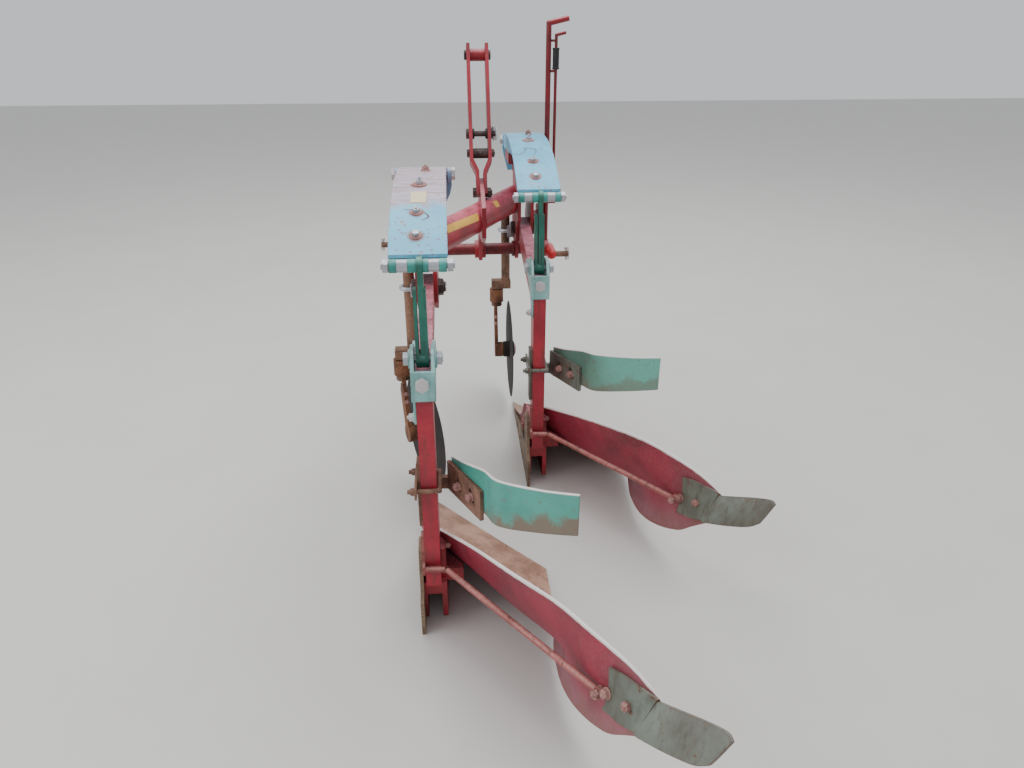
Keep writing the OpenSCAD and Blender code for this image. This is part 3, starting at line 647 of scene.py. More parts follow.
def leaf_height(y: float) -> float:
    """Height of the main leaf's upper face.

    Args:
        y: Place along the unit, in millimetres.

    Returns:
        The height, in millimetres.
    """
    drop = CROWN[1] - HINGE[1] - OVER_PIN
    return CROWN[1] - drop * (abs(y - CROWN[0]) / (CROWN[0] - HINGE[0])) ** BEND


FINISHES = [
    # head_red is a darker copy of the red paint. This is painted shade for the head, which sits in shadow
    # under the leaves.
    Paint("head_red", srgb(170, 34, 50), srgb(118, 24, 34), srgb(222, 140, 150), 0.6, 0.55, grime=0.5),
    Paint("beam_red", srgb(186, 42, 62), srgb(138, 28, 44), srgb(238, 162, 180), 0.9, 0.60, grime=0.55),
    Paint("tube_red", srgb(176, 30, 50), srgb(118, 16, 30), srgb(228, 116, 136), 0.85, 0.50, grime=0.45),
    Paint("mast_red", srgb(160, 24, 42), srgb(112, 12, 24), srgb(226, 124, 140), 0.5, 0.34),
    Paint("lever_red", srgb(152, 24, 36), srgb(98, 14, 22), srgb(220, 124, 138), 0.7, 0.30),
    Paint("shaft_red", srgb(132, 22, 34), srgb(66, 20, 24), srgb(190, 96, 100), 0.5, 0.50),
    Paint("elbow_red", srgb(206, 24, 34), srgb(160, 16, 24), srgb(236, 110, 110), 0.6, 0.25),
    Paint("stay_red", srgb(178, 96, 92), srgb(134, 66, 60), srgb(214, 160, 152), 0.5, 0.65, grime=0.6),
    Paint("link_green", srgb(44, 128, 108), srgb(24, 88, 76), srgb(132, 200, 184), 0.5, 0.28),
    Paint("hinge_green", srgb(70, 168, 158), srgb(46, 132, 122), srgb(136, 210, 204), 0.5, 0.30),
    Paint("bracket_mint", srgb(158, 208, 206), srgb(116, 172, 166), srgb(204, 230, 232), 0.5, 0.55),
    Paint("nose_lilac", srgb(176, 190, 214), srgb(128, 150, 186), srgb(208, 206, 220), 0.5, 0.45),
    Paint("tail_grey", srgb(118, 128, 116), srgb(92, 92, 82), srgb(146, 148, 138), 0.35, 0.70,
          edge_wear=0.8, grime=0.5, rough=0.5),
    Paint("plate_grey", srgb(112, 122, 112), srgb(88, 82, 72), srgb(150, 150, 140), 0.3, 0.75,
          edge_wear=0.8, grime=0.5, rough=0.5),
    Paint("label_yellow", srgb(232, 178, 66), srgb(214, 150, 46), srgb(246, 206, 116), 0.5, 0.12,
          edge_wear=0.5, grime=0.15, rough=0.35),
    Paint("label_cream", srgb(238, 222, 178), srgb(224, 198, 140), srgb(246, 238, 210), 0.5, 0.15,
          edge_wear=0.5, grime=0.15, rough=0.35),
    Paint("sleeve_black", srgb(34, 38, 36), srgb(22, 24, 24), srgb(82, 86, 84), 0.4, 0.05,
          edge_wear=0.2, grime=0.2, rough=0.5),
    Paint("cap_rose", srgb(182, 150, 156), srgb(140, 108, 112), srgb(206, 182, 188), 0.5, 0.5),
    LeafPaint("leaf_rear", Unit.REAR, (174.0, 263.0, 423.0), 292.0, 1.0),
    LeafPaint("leaf_front", Unit.FRONT, (176.0, 263.0, 460.0), 2000.0, 0.5),
    BoardPaint("board_red", srgb(158, 40, 64), srgb(118, 34, 48), srgb(154, 104, 114), srgb(154, 100, 106),
               srgb(186, 144, 126), srgb(160, 120, 104), low_rust=0.45, low_share=0.95, rim_from=0.987),
    BoardPaint("trash_rear", srgb(72, 166, 150), srgb(58, 142, 128), srgb(96, 160, 144), srgb(98, 168, 152),
               srgb(124, 116, 100), srgb(96, 84, 70), low_rust=0.75, low_share=0.35, tail_share=0.3,
               rim_from=0.97),
    BoardPaint("trash_front", srgb(98, 142, 126), srgb(84, 124, 112), srgb(120, 140, 122),
               srgb(112, 196, 178), srgb(124, 116, 100), srgb(96, 84, 70), low_rust=0.45,
               low_share=0.4, tail_share=0.95, rim_from=0.975),
    Rusted("worn_steel", srgb(86, 68, 54), srgb(132, 108, 86), srgb(176, 158, 136), 0.4),
    Rusted("rusty_steel", srgb(78, 50, 36), srgb(126, 78, 50), srgb(168, 118, 82), 0.15, 0.7),
    Rusted("plate_rust", srgb(96, 66, 54), srgb(136, 100, 82), srgb(160, 124, 104), 0.1, 0.7),
    Rusted("stem_brown", srgb(84, 62, 50), srgb(134, 96, 74), srgb(170, 146, 126), 0.2, 0.66),
    Rusted("dark_steel", srgb(40, 34, 30), srgb(66, 52, 44), srgb(104, 84, 70), 0.4, 0.55),
    Rusted("dark_bolt", srgb(46, 38, 38), srgb(86, 66, 62), srgb(132, 108, 102), 0.4, 0.5),
    Rusted("rose_nut", srgb(134, 88, 82), srgb(176, 128, 120), srgb(206, 170, 162), 0.2, 0.6),
    Rusted("scale_black", srgb(24, 20, 20), srgb(38, 31, 30), srgb(62, 50, 46), 0.05, 0.85),
    Rusted("share_tan", srgb(150, 112, 92), srgb(188, 148, 126), srgb(212, 178, 158), 0.15, 0.6),
    BareMetal("galvanised", srgb(186, 190, 198), srgb(136, 124, 116), 0.40),
    BareMetal("zinc_pale", srgb(208, 204, 206), srgb(150, 126, 116), 0.35, 0.42, 0.35),
]


@dataclass
class FinishBook:
    """All the materials, built once and found by name."""

    made: dict[str, bpy.types.Material] = field(default_factory=dict)

    def get(self, name: str) -> bpy.types.Material:
        """Finds a finish, and builds it the first time.

        Args:
            name: The finish's name.

        Returns:
            The material.
        """
        if name not in self.made:
            finish = next(f for f in FINISHES if f.name == name)
            self.made[name] = finish.build()
        return self.made[name]

    def dress(self, target: bpy.types.Object, name: str) -> None:
        """Gives an object one finish.

        Args:
            target: The object.
            name: The finish's name.
        """
        target.data.materials.clear()
        target.data.materials.append(self.get(name))


Grid = list[list[Vector]]


class MeshMaker:
    """Collects points and faces, and turns them into one object.

    Its values are the sides of a hexagon's ring, the height of a head as a share of its width, the
    thickness of a washer and the pitch of a thread, in metres.
    """

    hexagon_sides = 24
    head_share = 0.55
    washer_thick = 0.0025
    pitch = 0.0016

    def __init__(self) -> None:
        """Starts empty."""
        self.points: list[Vector] = []
        self.faces: list[tuple[int, ...]] = []
        self.measures: dict[str, list[float]] = {}

    def ring_stack(self, rings: Grid, closed: bool = True) -> None:
        """Joins rings of equal length by walls and closes both ends.

        Args:
            rings: The rings, in order.
            closed: Whether the two end rings are capped; otherwise the last ring joins the first.
        """
        start = len(self.points)
        size = len(rings[0])
        for ring in rings:
            self.points.extend(ring)
        rows = len(rings)
        for row in range(rows - 1 if closed else rows):
            after = (row + 1) % rows
            for i in range(size):
                a, b = start + row * size + i, start + row * size + (i + 1) % size
                c, d = start + after * size + (i + 1) % size, start + after * size + i
                self.faces.append((a, b, c, d))
        if closed:
            self.faces.append(tuple(start + i for i in reversed(range(size))))
            self.faces.append(tuple(start + (rows - 1) * size + i for i in range(size)))

    def turned(self, base: Vector, axis: Vector, profile: list[tuple[float, float]], sides: int = 24,
               bored: bool = False) -> None:
        """A turned body.

        Args:
            base: Where the axis starts.
            axis: Its direction.
            profile: Pairs of height along the axis and radius.
            sides: Sides of each ring.
            bored: Whether the last ring joins the first, which leaves a hole along the axis.
        """
        turn = axis.to_track_quat("Z", "Y").to_matrix()
        self.ring_stack([
            [base + turn @ Vector((radius * math.cos(a), radius * math.sin(a), height))
             for a in (2 * math.pi * i / sides for i in range(sides))]
            for height, radius in profile
        ], closed=not bored)

    def tube(self, path: list[Vector], radius: float, sides: int = 12, loop: bool = False,
             ripple: float = 0.0) -> None:
        """A round wire, rod or weld bead along a path.

        Args:
            path: Points along its middle.
            radius: Its radius.
            sides: Sides of each ring.
            loop: Whether the path closes on itself.
            ripple: Share by which the radius swells and shrinks, as a weld's does.
        """
        count = len(path)
        rings: Grid = []
        side = UP.copy()
        for i, point in enumerate(path):
            before = path[i - 1] if loop or i else point
            after = path[(i + 1) % count] if loop or i < count - 1 else point
            ahead = (after - before).normalized()
            side = side - ahead * side.dot(ahead)
            if side.length < 1e-4:
                side = ahead.orthogonal()
            side.normalize()
            other = ahead.cross(side)
            size = radius * (1.0 + ripple * (random.random() - 0.5) * 2.0)
            rings.append([
                point + side * (size * math.cos(a)) + other * (size * math.sin(a))
                for a in (2 * math.pi * k / sides for k in range(sides))
            ])
        self.ring_stack(rings, closed=not loop)

    def hexagon(self, base: Vector, axis: Vector, flats: float, height: float, spin: float = 0.0) -> None:
        """A chamfered hexagon head or nut.

        Args:
            base: Middle of its seat.
            axis: Direction in which it stands up.
            flats: Width over its flats.
            height: Height.
            spin: Turn about the axis, in radians.
        """
        turn = axis.to_track_quat("Z", "Y").to_matrix() @ Matrix.Rotation(spin, 3, "Z")
        inner = flats / 2
        rings: Grid = [[], [], []]
        for i in range(self.hexagon_sides):
            a = 2 * math.pi * i / self.hexagon_sides
            off = (a % (math.pi / 3)) - math.pi / 6
            corner = inner / math.cos(off)
            drop = (corner - inner) * 0.58
            for ring, radius, z in zip(rings, (corner, corner, inner * 0.96), (0.0, height - drop, height)):
                ring.append(base + turn @ Vector((radius * math.cos(a), radius * math.sin(a), z)))
        self.ring_stack(rings)

    def bolt(self, seat: Vector, axis: Vector, flats: float, washer: float = 0.0, stub: float = 0.0,
             spin: float = 0.0) -> None:
        """A hexagon head or nut on its washer, with the end of its thread where one shows.

        Args:
            seat: Where it sits.
            axis: Direction in which it stands up.
            flats: Width over its flats.
            washer: Diameter of the washer, or 0.
            stub: Length of thread beyond the nut, or 0.
            spin: Turn about the axis, in radians.
        """
        up = axis.normalized()
        lift = 0.0
        if washer:
            lift, rim = self.washer_thick, washer / 2
            self.turned(seat, up, [(-0.001, rim), (lift - 0.0005, rim), (lift, rim - 0.0006)], 32)
        height = flats * self.head_share
        self.hexagon(seat + up * lift, up, flats, height, spin)
        if stub:
            top = lift + height + stub
            profile = [(lift, flats * 0.27)]
            turns = max(2, int(stub / self.pitch))
            for k in range(turns):
                z = lift + height + stub * k / turns
                profile += [(z, flats * 0.27), (z + stub / turns * 0.5, flats * 0.245)]
            self.turned(seat, up, [*profile, (top, flats * 0.22)], 20)

    def dome(self, seat: Vector, axis: Vector, width: float, height: float) -> None:
        """A low round head.

        Args:
            seat: Where it sits.
            axis: Direction in which it stands up.
            width: Its diameter.
            height: Its height.
        """
        steps = [(-0.001, 1.0), (0.15, 1.0), (0.5, 0.86), (0.8, 0.6), (0.95, 0.32), (1.0, 0.08)]
        self.turned(seat, axis, [(h * height if h > 0 else h, r * width / 2) for h, r in steps], 28)

    def plate(self, front: Grid, rear: Grid, rise: list[float], length: list[float]) -> None:
        """A closed plate between two grids, with its measures kept on its points.

        Args:
            front: Points of the working side, row by row.
            rear: Points of the other side, row by row.
            rise: Measure across the plate for each column.
            length: Measure along the plate for each row.
        """
        start, rows, cols = len(self.points), len(front), len(front[0])
        half = rows * cols
        for grid in (front, rear):
            for row in grid:
                self.points.extend(row)
        for i in range(rows - 1):
            for j in range(cols - 1):
                a = start + i * cols + j
                self.faces.append((a, a + cols, a + cols + 1, a + 1))
                b = a + half
                self.faces.append((b, b + 1, b + cols + 1, b + cols))
        for i in range(rows - 1):
            for a, step in ((start + i * cols, cols), (start + (i + 1) * cols + cols - 1, -cols)):
                self.faces.append((a, a + half, a + half + step, a + step))
        for j in range(cols - 1):
            for a, step in ((start + j + 1, -1), (start + (rows - 1) * cols + j, 1)):
                self.faces.append((a, a + half, a + half + step, a + step))
        for name in ("rise", "length", "side"):
            self.measures.setdefault(name, [])
        for side in (0.0, 1.0):
            for i in range(rows):
                for j in range(cols):
                    self.measures["rise"].append(rise[j])
                    self.measures["length"].append(length[i])
                    self.measures["side"].append(side)

    def make(self, name: str, smooth_angle: float = 0.6, rounding: float = 0.0) -> bpy.types.Object:
        """Ends the collecting.

        Args:
            name: The object's name.
            smooth_angle: Edges flatter than this many radians are shaded smooth.
            rounding: Width by which the sharp edges are rounded off, or 0.

        Returns:
            The object, linked to the scene.
        """
        mesh = bpy.data.meshes.new(name)
        mesh.from_pydata([tuple(p) for p in self.points], [], self.faces)
        for key, values in self.measures.items():
            mesh.attributes.new(key, "FLOAT", "POINT").data.foreach_set("value", values)
        mesh.update()
        shell = bmesh.new()
        shell.from_mesh(mesh)
        bmesh.ops.recalc_face_normals(shell, faces=shell.faces)
        shell.to_mesh(mesh)
        shell.free()
        mesh.shade_smooth()
        mesh.set_sharp_from_angle(angle=smooth_angle)
        made = bpy.data.objects.new(name, mesh)
        bpy.context.scene.collection.objects.link(made)
        if rounding:
            bevel = made.modifiers.new("rounding", "BEVEL")
            bevel.width = rounding
            bevel.segments = 2
            bevel.limit_method = "ANGLE"
            bevel.angle_limit = 0.9
        return made


@dataclass
class Assembly:
    """What every sub-assembly shares: the finishes, the CAD frame and the way pieces are placed."""

    book: FinishBook
    frame: dict

    def coat(self, node: str, finish: str) -> None:
        """Gives a CAD node its finish.

        Args:
            node: The node's name.
            finish: The finish's name.
        """
        self.book.dress(self.frame["nodes"][node], finish)
        LOG.info("dressed %s in %s", node, finish)

    def place(self, piece: bpy.types.Object, body: str, finish: str, slot: str = "",
              instead: str = "") -> bpy.types.Object:
        """Dresses a new piece and sets it on its body.

        Args:
            piece: The piece.
            body: The CAD body it rides on.
            finish: The finish.
            slot: The record's slot; not used.
            instead: The CAD node that it replaces, or nothing.

        Returns:
            The piece.
        """
        self.book.dress(piece, finish)
        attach(piece, body)
        if instead:
            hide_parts(instead)
        LOG.info("built %s", piece.name)
        return piece


@dataclass
class LeafSpring(Assembly):
    """The leaf pack of one unit with the bolts along its middle.

    Places and the sizes of the nose are in millimetres; the sizes of bolts, washers and the nose pin
    are in metres. The stud and the halves of the nose have the rear unit's value and then the front
    unit's. The nose's foot is half its width and its height, and the pin's nut its flats and height.
    """

    unit: Unit = Unit.REAR
    near_bolts: tuple[float, float] = (174.5, 263.0)
    stud_y: tuple[float, float] = (423.0, 460.0)
    crown_bolt_y: float = 596.0
    bolt_x: float = -5.0
    bolt_flats: float = 0.016
    washer: float = 0.029
    stud_washer: float = 0.038
    label_x: tuple[float, float] = (-20.0, 19.0)
    label_y: tuple[float, float] = (308.0, 372.0)
    nose_y: float = 768.0
    nose_halves: tuple[float, float] = (84.0, 70.0)
    nose_foot: tuple[float, float] = (50.0, 975.0)
    nose_waist: float = 1030.0
    nose_thick: float = 10.0
    eye_radius: float = 19.0
    lug_wide: float = 13.0
    front_y: float = 790.0
    pin_radius: float = 0.010
    pin_end_radius: float = 0.0095
    pin_nut: tuple[float, float] = (0.032, 0.011)
    gusset_x: tuple[float, float] = (-31.4, 20.6)
    gusset_y: float = 748.0
    gusset_z: tuple[float, float] = (972.0, 1046.0)
    gusset_thick: float = 10.8

    def on_leaf(self, x: float, y: float, lift: float = 0.0) -> Vector:
        """A point on the leaf's upper face.

        Args:
            x: Sideways, in millimetres.
            y: Along the unit, in millimetres.
            lift: Height over the face, in millimetres.

        Returns:
            The point.
        """
        return self.unit.at(x, y, leaf_height(y) + lift)

    def up_at(self, y: float) -> Vector:
        """The direction square to the leaf.

        Args:
            y: Along the unit, in millimetres.

        Returns:
            The direction.
        """
        slope = (leaf_height(y + 1) - leaf_height(y - 1)) / 2
        return Vector((0.0, -slope, 1.0)).normalized()

    def bolts(self) -> None:
        """Sets the bolts, the stud and the crown's bolt on the leaf."""
        key = self.unit.key
        heads, washers = MeshMaker(), MeshMaker()
        for turn, y in enumerate(self.near_bolts):
            seat, up, rim = self.on_leaf(self.bolt_x, y), self.up_at(y), self.washer / 2
            washers.turned(seat, up, [(-0.001, rim), (0.002, rim), (0.0032, 0.012)], 32)
            heads.bolt(seat + up * 0.003, up, self.bolt_flats, 0.0, 0.003 * turn, 0.3 + turn)
        y = self.unit.pick(self.stud_y)
        seat, up, rim = self.on_leaf(self.bolt_x + 5, y), self.up_at(y), self.stud_washer / 2
        washers.turned(seat, up, [(-0.001, rim), (0.003, rim), (0.004, 0.016)], 32)
        heads.bolt(seat + up * 0.0035, up, self.bolt_flats, 0.0, 0.009, 0.9)
        y = self.crown_bolt_y
        washers.bolt(self.on_leaf(12.0, y), self.up_at(y), 0.017, 0.028, 0.004, 0.2)
        self.place(heads.make(f"{key}_leaf_bolt_heads"), "frame", "galvanised", "galvanised")
        self.place(washers.make(f"{key}_leaf_washers"), "frame", "rose_nut")

    def nose(self, finish: str) -> None:
        """Builds the plate across the head's front with the leaf's eye, its pin, the lugs and the gussets.

        Args:
            finish: The leaves' finish.
        """
        key, eye_y, wide = self.unit.key, self.nose_y, self.lug_wide
        half = self.unit.pick(self.nose_halves)
        z = leaf_height(eye_y) - self.eye_radius
        plate = MeshMaker()
        foot, sole = self.nose_foot
        outline = [
            (-foot, sole), (foot, sole), (half - 6, self.nose_waist), (half, z - 40),
            (half, z + 12), (-half, z + 12), (-half, z - 40), (6 - half, self.nose_waist),
        ]
        faces = (self.front_y, self.front_y + self.nose_thick)
        plate.ring_stack([[self.unit.at(x, y, up) for x, up in outline] for y in faces])
        lug = [(eye_y + self.eye_radius * math.cos(a), z + self.eye_radius * math.sin(a))
               for a in (math.radians(90 + 15 * k) for k in range(13))]
        lug += [(self.front_y + 0.6, z - 34), (self.front_y + 0.6, z + 11)]
        for x in (-half, half - wide):
            plate.ring_stack([[self.unit.at(x + s, y, up) for y, up in lug] for s in (0, wide)])
        self.place(plate.make(f"{key}_nose_plate", rounding=0.0014), "frame",
                   "nose_lilac" if self.unit is Unit.REAR else finish, "leaf_blue")
        eye = MeshMaker()
        reach, radius = 2 * (half - wide) - 7, self.eye_radius / MM_PER_M
        span = reach / MM_PER_M
        eye.turned(self.unit.at(-reach / 2, eye_y, z), RIGHT, [
            (0.0, radius - 0.001), (0.001, radius), (span - 0.001, radius), (span, radius - 0.001),
        ], 40)
        self.place(eye.make(f"{key}_leaf_eye"), "frame", finish, "leaf_blue")
        pin = MeshMaker()
        length = (2 * half + 5) / MM_PER_M
        pin.turned(self.unit.at(-half - 4, eye_y, z), RIGHT, [
            (0.0, self.pin_end_radius), (0.001, self.pin_radius),
            (length - 0.001, self.pin_radius), (length, self.pin_end_radius),
        ], 28)
        flats, height = self.pin_nut
        if self.unit is Unit.REAR:
            pin.hexagon(self.unit.at(half, eye_y, z), RIGHT, flats, height, 0.3)
        pin.hexagon(self.unit.at(-half, eye_y, z), -RIGHT, flats, height, 0.1)
        self.place(pin.make(f"{key}_nose_pin"), "frame", "zinc_pale")
        gusset = MeshMaker()
        low, high = self.gusset_z
        edge = [(self.gusset_y, low), (self.front_y, low), (self.front_y, high), (self.gusset_y, high)]
        for x in self.gusset_x:
            gusset.ring_stack([
                [self.unit.at(x + s, y, up) for y, up in edge] for s in (0, self.gusset_thick)
            ])
        self.place(gusset.make(f"{key}_nose_gussets", rounding=0.001), "frame", "head_red", "head_red")

    def label(self) -> None:
        """Lays the blank plate on the rear leaf."""
        sheet = MeshMaker()
        rows, cols = 16, 6
        ys = [self.label_y[0] + (self.label_y[1] - self.label_y[0]) * i / rows for i in range(rows + 1)]
        xs = [self.label_x[0] + (self.label_x[1] - self.label_x[0]) * j / cols for j in range(cols + 1)]
        top = [[self.on_leaf(x, y, 1.0) for x in reversed(xs)] for y in ys]
        low = [[self.on_leaf(x, y, 0.1) for x in reversed(xs)] for y in ys]
        sheet.plate(low, top, [0.5] * (cols + 1), [0.5] * (rows + 1))
        self.place(sheet.make("leaf_label", rounding=0.0002), "frame", "label_cream")

    def build(self) -> None:
        """Dresses the leaves and adds what sits on them."""
        finish = f"leaf_{self.unit.key}"
        for name in ("main_leaf", "short_leaves"):
            self.coat(self.unit.node(name), finish)
        self.nose(finish)
        self.bolts()
        if self.unit is Unit.REAR:
            self.label()


@dataclass
class Linkage(Assembly):
    """The head, the beam and the link of one unit.

    Sizes and places are in millimetres, and the big bolt's width over its flats is in metres.
    """

    unit: Unit = Unit.REAR
    face_y: float = 32.0
    bracket_bolt: tuple[float, float] = (-2.0, 747.0)
    bracket_flats: float = 0.030
    strap_z: tuple[float, float] = (628.0, 699.0)
    strap_x: tuple[float, float] = (-20.1, -26.6)
    strap_y: float = 60.0
    strap_half: float = 16.0

    def strap(self) -> None:
        """Hangs the short strap under the bracket, left of the leg, with its bolt."""
        key, low, high = self.unit.key, *self.strap_z
        strap = MeshMaker()
        middle, half = self.strap_y, self.strap_half
        outline = [(middle - half, high), (middle + half, high), (middle + half, low + half)]
        outline += [(middle + half * math.cos(a), low + half - half * math.sin(a))
                    for a in (math.pi * k / 12 for k in range(1, 12))]
        outline.append((middle - half, low + half))
        rings = [[self.unit.at(x, y, z) for y, z in outline] for x in self.strap_x]
        strap.ring_stack(rings)
        self.place(strap.make(f"{key}_leg_strap", rounding=0.0012), "frame", "bracket_mint", "bracket_mint")
        bolt = MeshMaker()
        seat = self.unit.at(self.strap_x[1], middle, low + 18)
        bolt.bolt(seat, LEFT, NUT_FLATS, NUT_WASHER, THREAD_END, 0.4)
        self.place(bolt.make(f"{key}_strap_bolt"), "frame", "zinc_pale")

    def bracket_head(self) -> None:
        """Sets the big bolt on the bracket's rear face."""
        x, z = self.bracket_bolt
        head = MeshMaker()
        head.bolt(self.unit.at(x, self.face_y, z), BACKWARD, self.bracket_flats, 0.0, 0.0, 0.5)
        self.place(head.make(f"{self.unit.key}_bracket_bolt"), "frame", "zinc_pale")

    def build(self) -> None:
        """Dresses the pieces and adds the small ones."""
        for name, finish in (
            ("head", "head_red"), ("pivot_bolt", "dark_bolt"), ("beam", "beam_red"),
            ("hinge_bracket", "hinge_green"), ("hinge_rollers", "galvanised"), ("hinge_pin", "galvanised"),
            ("link", "link_green"), ("link_bracket", "bracket_mint"), ("link_bolt", "galvanised"),
        ):
            self.coat(self.unit.node(name), finish)
        self.strap()
        self.bracket_head()


# The mouldboard from its shin to its tail, in millimetres from the unit's datum. Each row is one
# station: the point on its lower edge, the point that its curve is drawn towards, and the point on its
# upper edge.
STATIONS = (
    (-34, 478, 78, -34, 262, 140, -30, 205, 246),
    (110, 330, 50, 112, 75, 95, 96, 13, 299),
    (215, 215, 45, 222, -85, 62, 195, -160, 342),
    (325, 90, 40, 315, -300, 110, 285, -280, 354),
    (312, -110, 28, 342, -385, 115, 345, -372, 354),
    (322, -262, 46, 380, -455, 150, 408, -445, 334),
    (370, -412, 108, 402, -497, 170, 446, -492, 312),
    (425, -520, 200, 440, -528, 235, 466, -512, 290),
)

# The tail piece where it lies on the board, row by row: station and rise of its lower edge, then of its
# upper edge.
TAIL_LAID = (
    (5.20, 0.50, 4.68, 0.90), (5.50, 0.52, 5.10, 0.925), (5.95, 0.50, 5.65, 0.95),
    (6.55, 0.35, 6.20, 0.975), (6.82, 0.20, 6.72, 1.0), (7.0, 0.05, 7.0, 1.0),
)
# The tail piece beyond the board: how far each row reaches at its lower and its upper edge, and the
# rises between which it lies. It runs on in one direction, and each row has the same number of knots.
TAIL_FREE = (
    (60.0, 70.0, 0.0, 1.0), (120.0, 130.0, 0.0, 1.0), (170.0, 182.0, 0.06, 0.97), (196.0, 206.0, 0.24, 0.86),
)
TAIL_RUN = Vector((0.44, -0.78, 0.44)).normalized()
TAIL_KNOTS = 5

# The trash board: on its slotted plate, the place along the plate with its lower and upper edge, and
# then, beyond the plate, the place across and along the unit with the same two heights.
TRASH_LAID = ((6, 385, 496), (62, 394, 508), (118, 404, 524), (174, 416, 540))
TRASH_FREE = ((166, -107, 434, 561), (254, -186, 468, 583), (330, -242, 497, 604))


def spline(rows: tuple[tuple[float, ...], ...], at: float) -> list[float]:
    """A smooth curve through the rows of a table.

    Args:
        rows: The rows.
        at: Place along the table, in rows.

    Returns:
        The row there.
    """
    last = len(rows) - 1
    i = min(int(math.floor(at)), last - 1)
    t = at - i
    p, q, r, s = (rows[max(i - 1, 0)], rows[i], rows[i + 1], rows[min(i + 2, last)])
    return [
        0.5 * (2 * b + (c - a) * t + (2 * a - 5 * b + 4 * c - d) * t * t + (3 * b - a - 3 * c + d) * t ** 3)
        for a, b, c, d in zip(p, q, r, s)
    ]


class BoardFace:
    """The mouldboard's working face, in millimetres from the unit's datum."""

    last = len(STATIONS) - 1

    @staticmethod
    def point(s: float, t: float) -> Vector:
        """A point on the face.

        Args:
            s: Station, 0 at the shin.
            t: Rise, 0 at the lower edge and 1 at the upper.

        Returns:
            The point.
        """
        q = spline(STATIONS, s)
        low, mid, high = Vector(q[0:3]), Vector(q[3:6]), Vector(q[6:9])
        return low * (1 - t) ** 2 + mid * (2 * t * (1 - t)) + high * t * t

    @classmethod
    def back(cls, s: float, t: float) -> Vector:
        """The direction square to the face, away from the soil.

        Args:
            s: Station.
            t: Rise.

        Returns:
            The direction.
        """
        along = cls.point(min(s + 0.05, cls.last), t) - cls.point(max(s - 0.05, 0), t)
        across = cls.point(s, min(t + 0.02, 1)) - cls.point(s, max(t - 0.02, 0))
        return along.cross(across).normalized()

    @classmethod
    def behind(cls, s: float, t: float, depth: float) -> Vector:
        """A point behind the face.

        Args:
            s: Station.
            t: Rise.
            depth: Distance behind the face.

        Returns:
            The point.
        """
        return cls.point(s, t) + cls.back(s, t) * depth


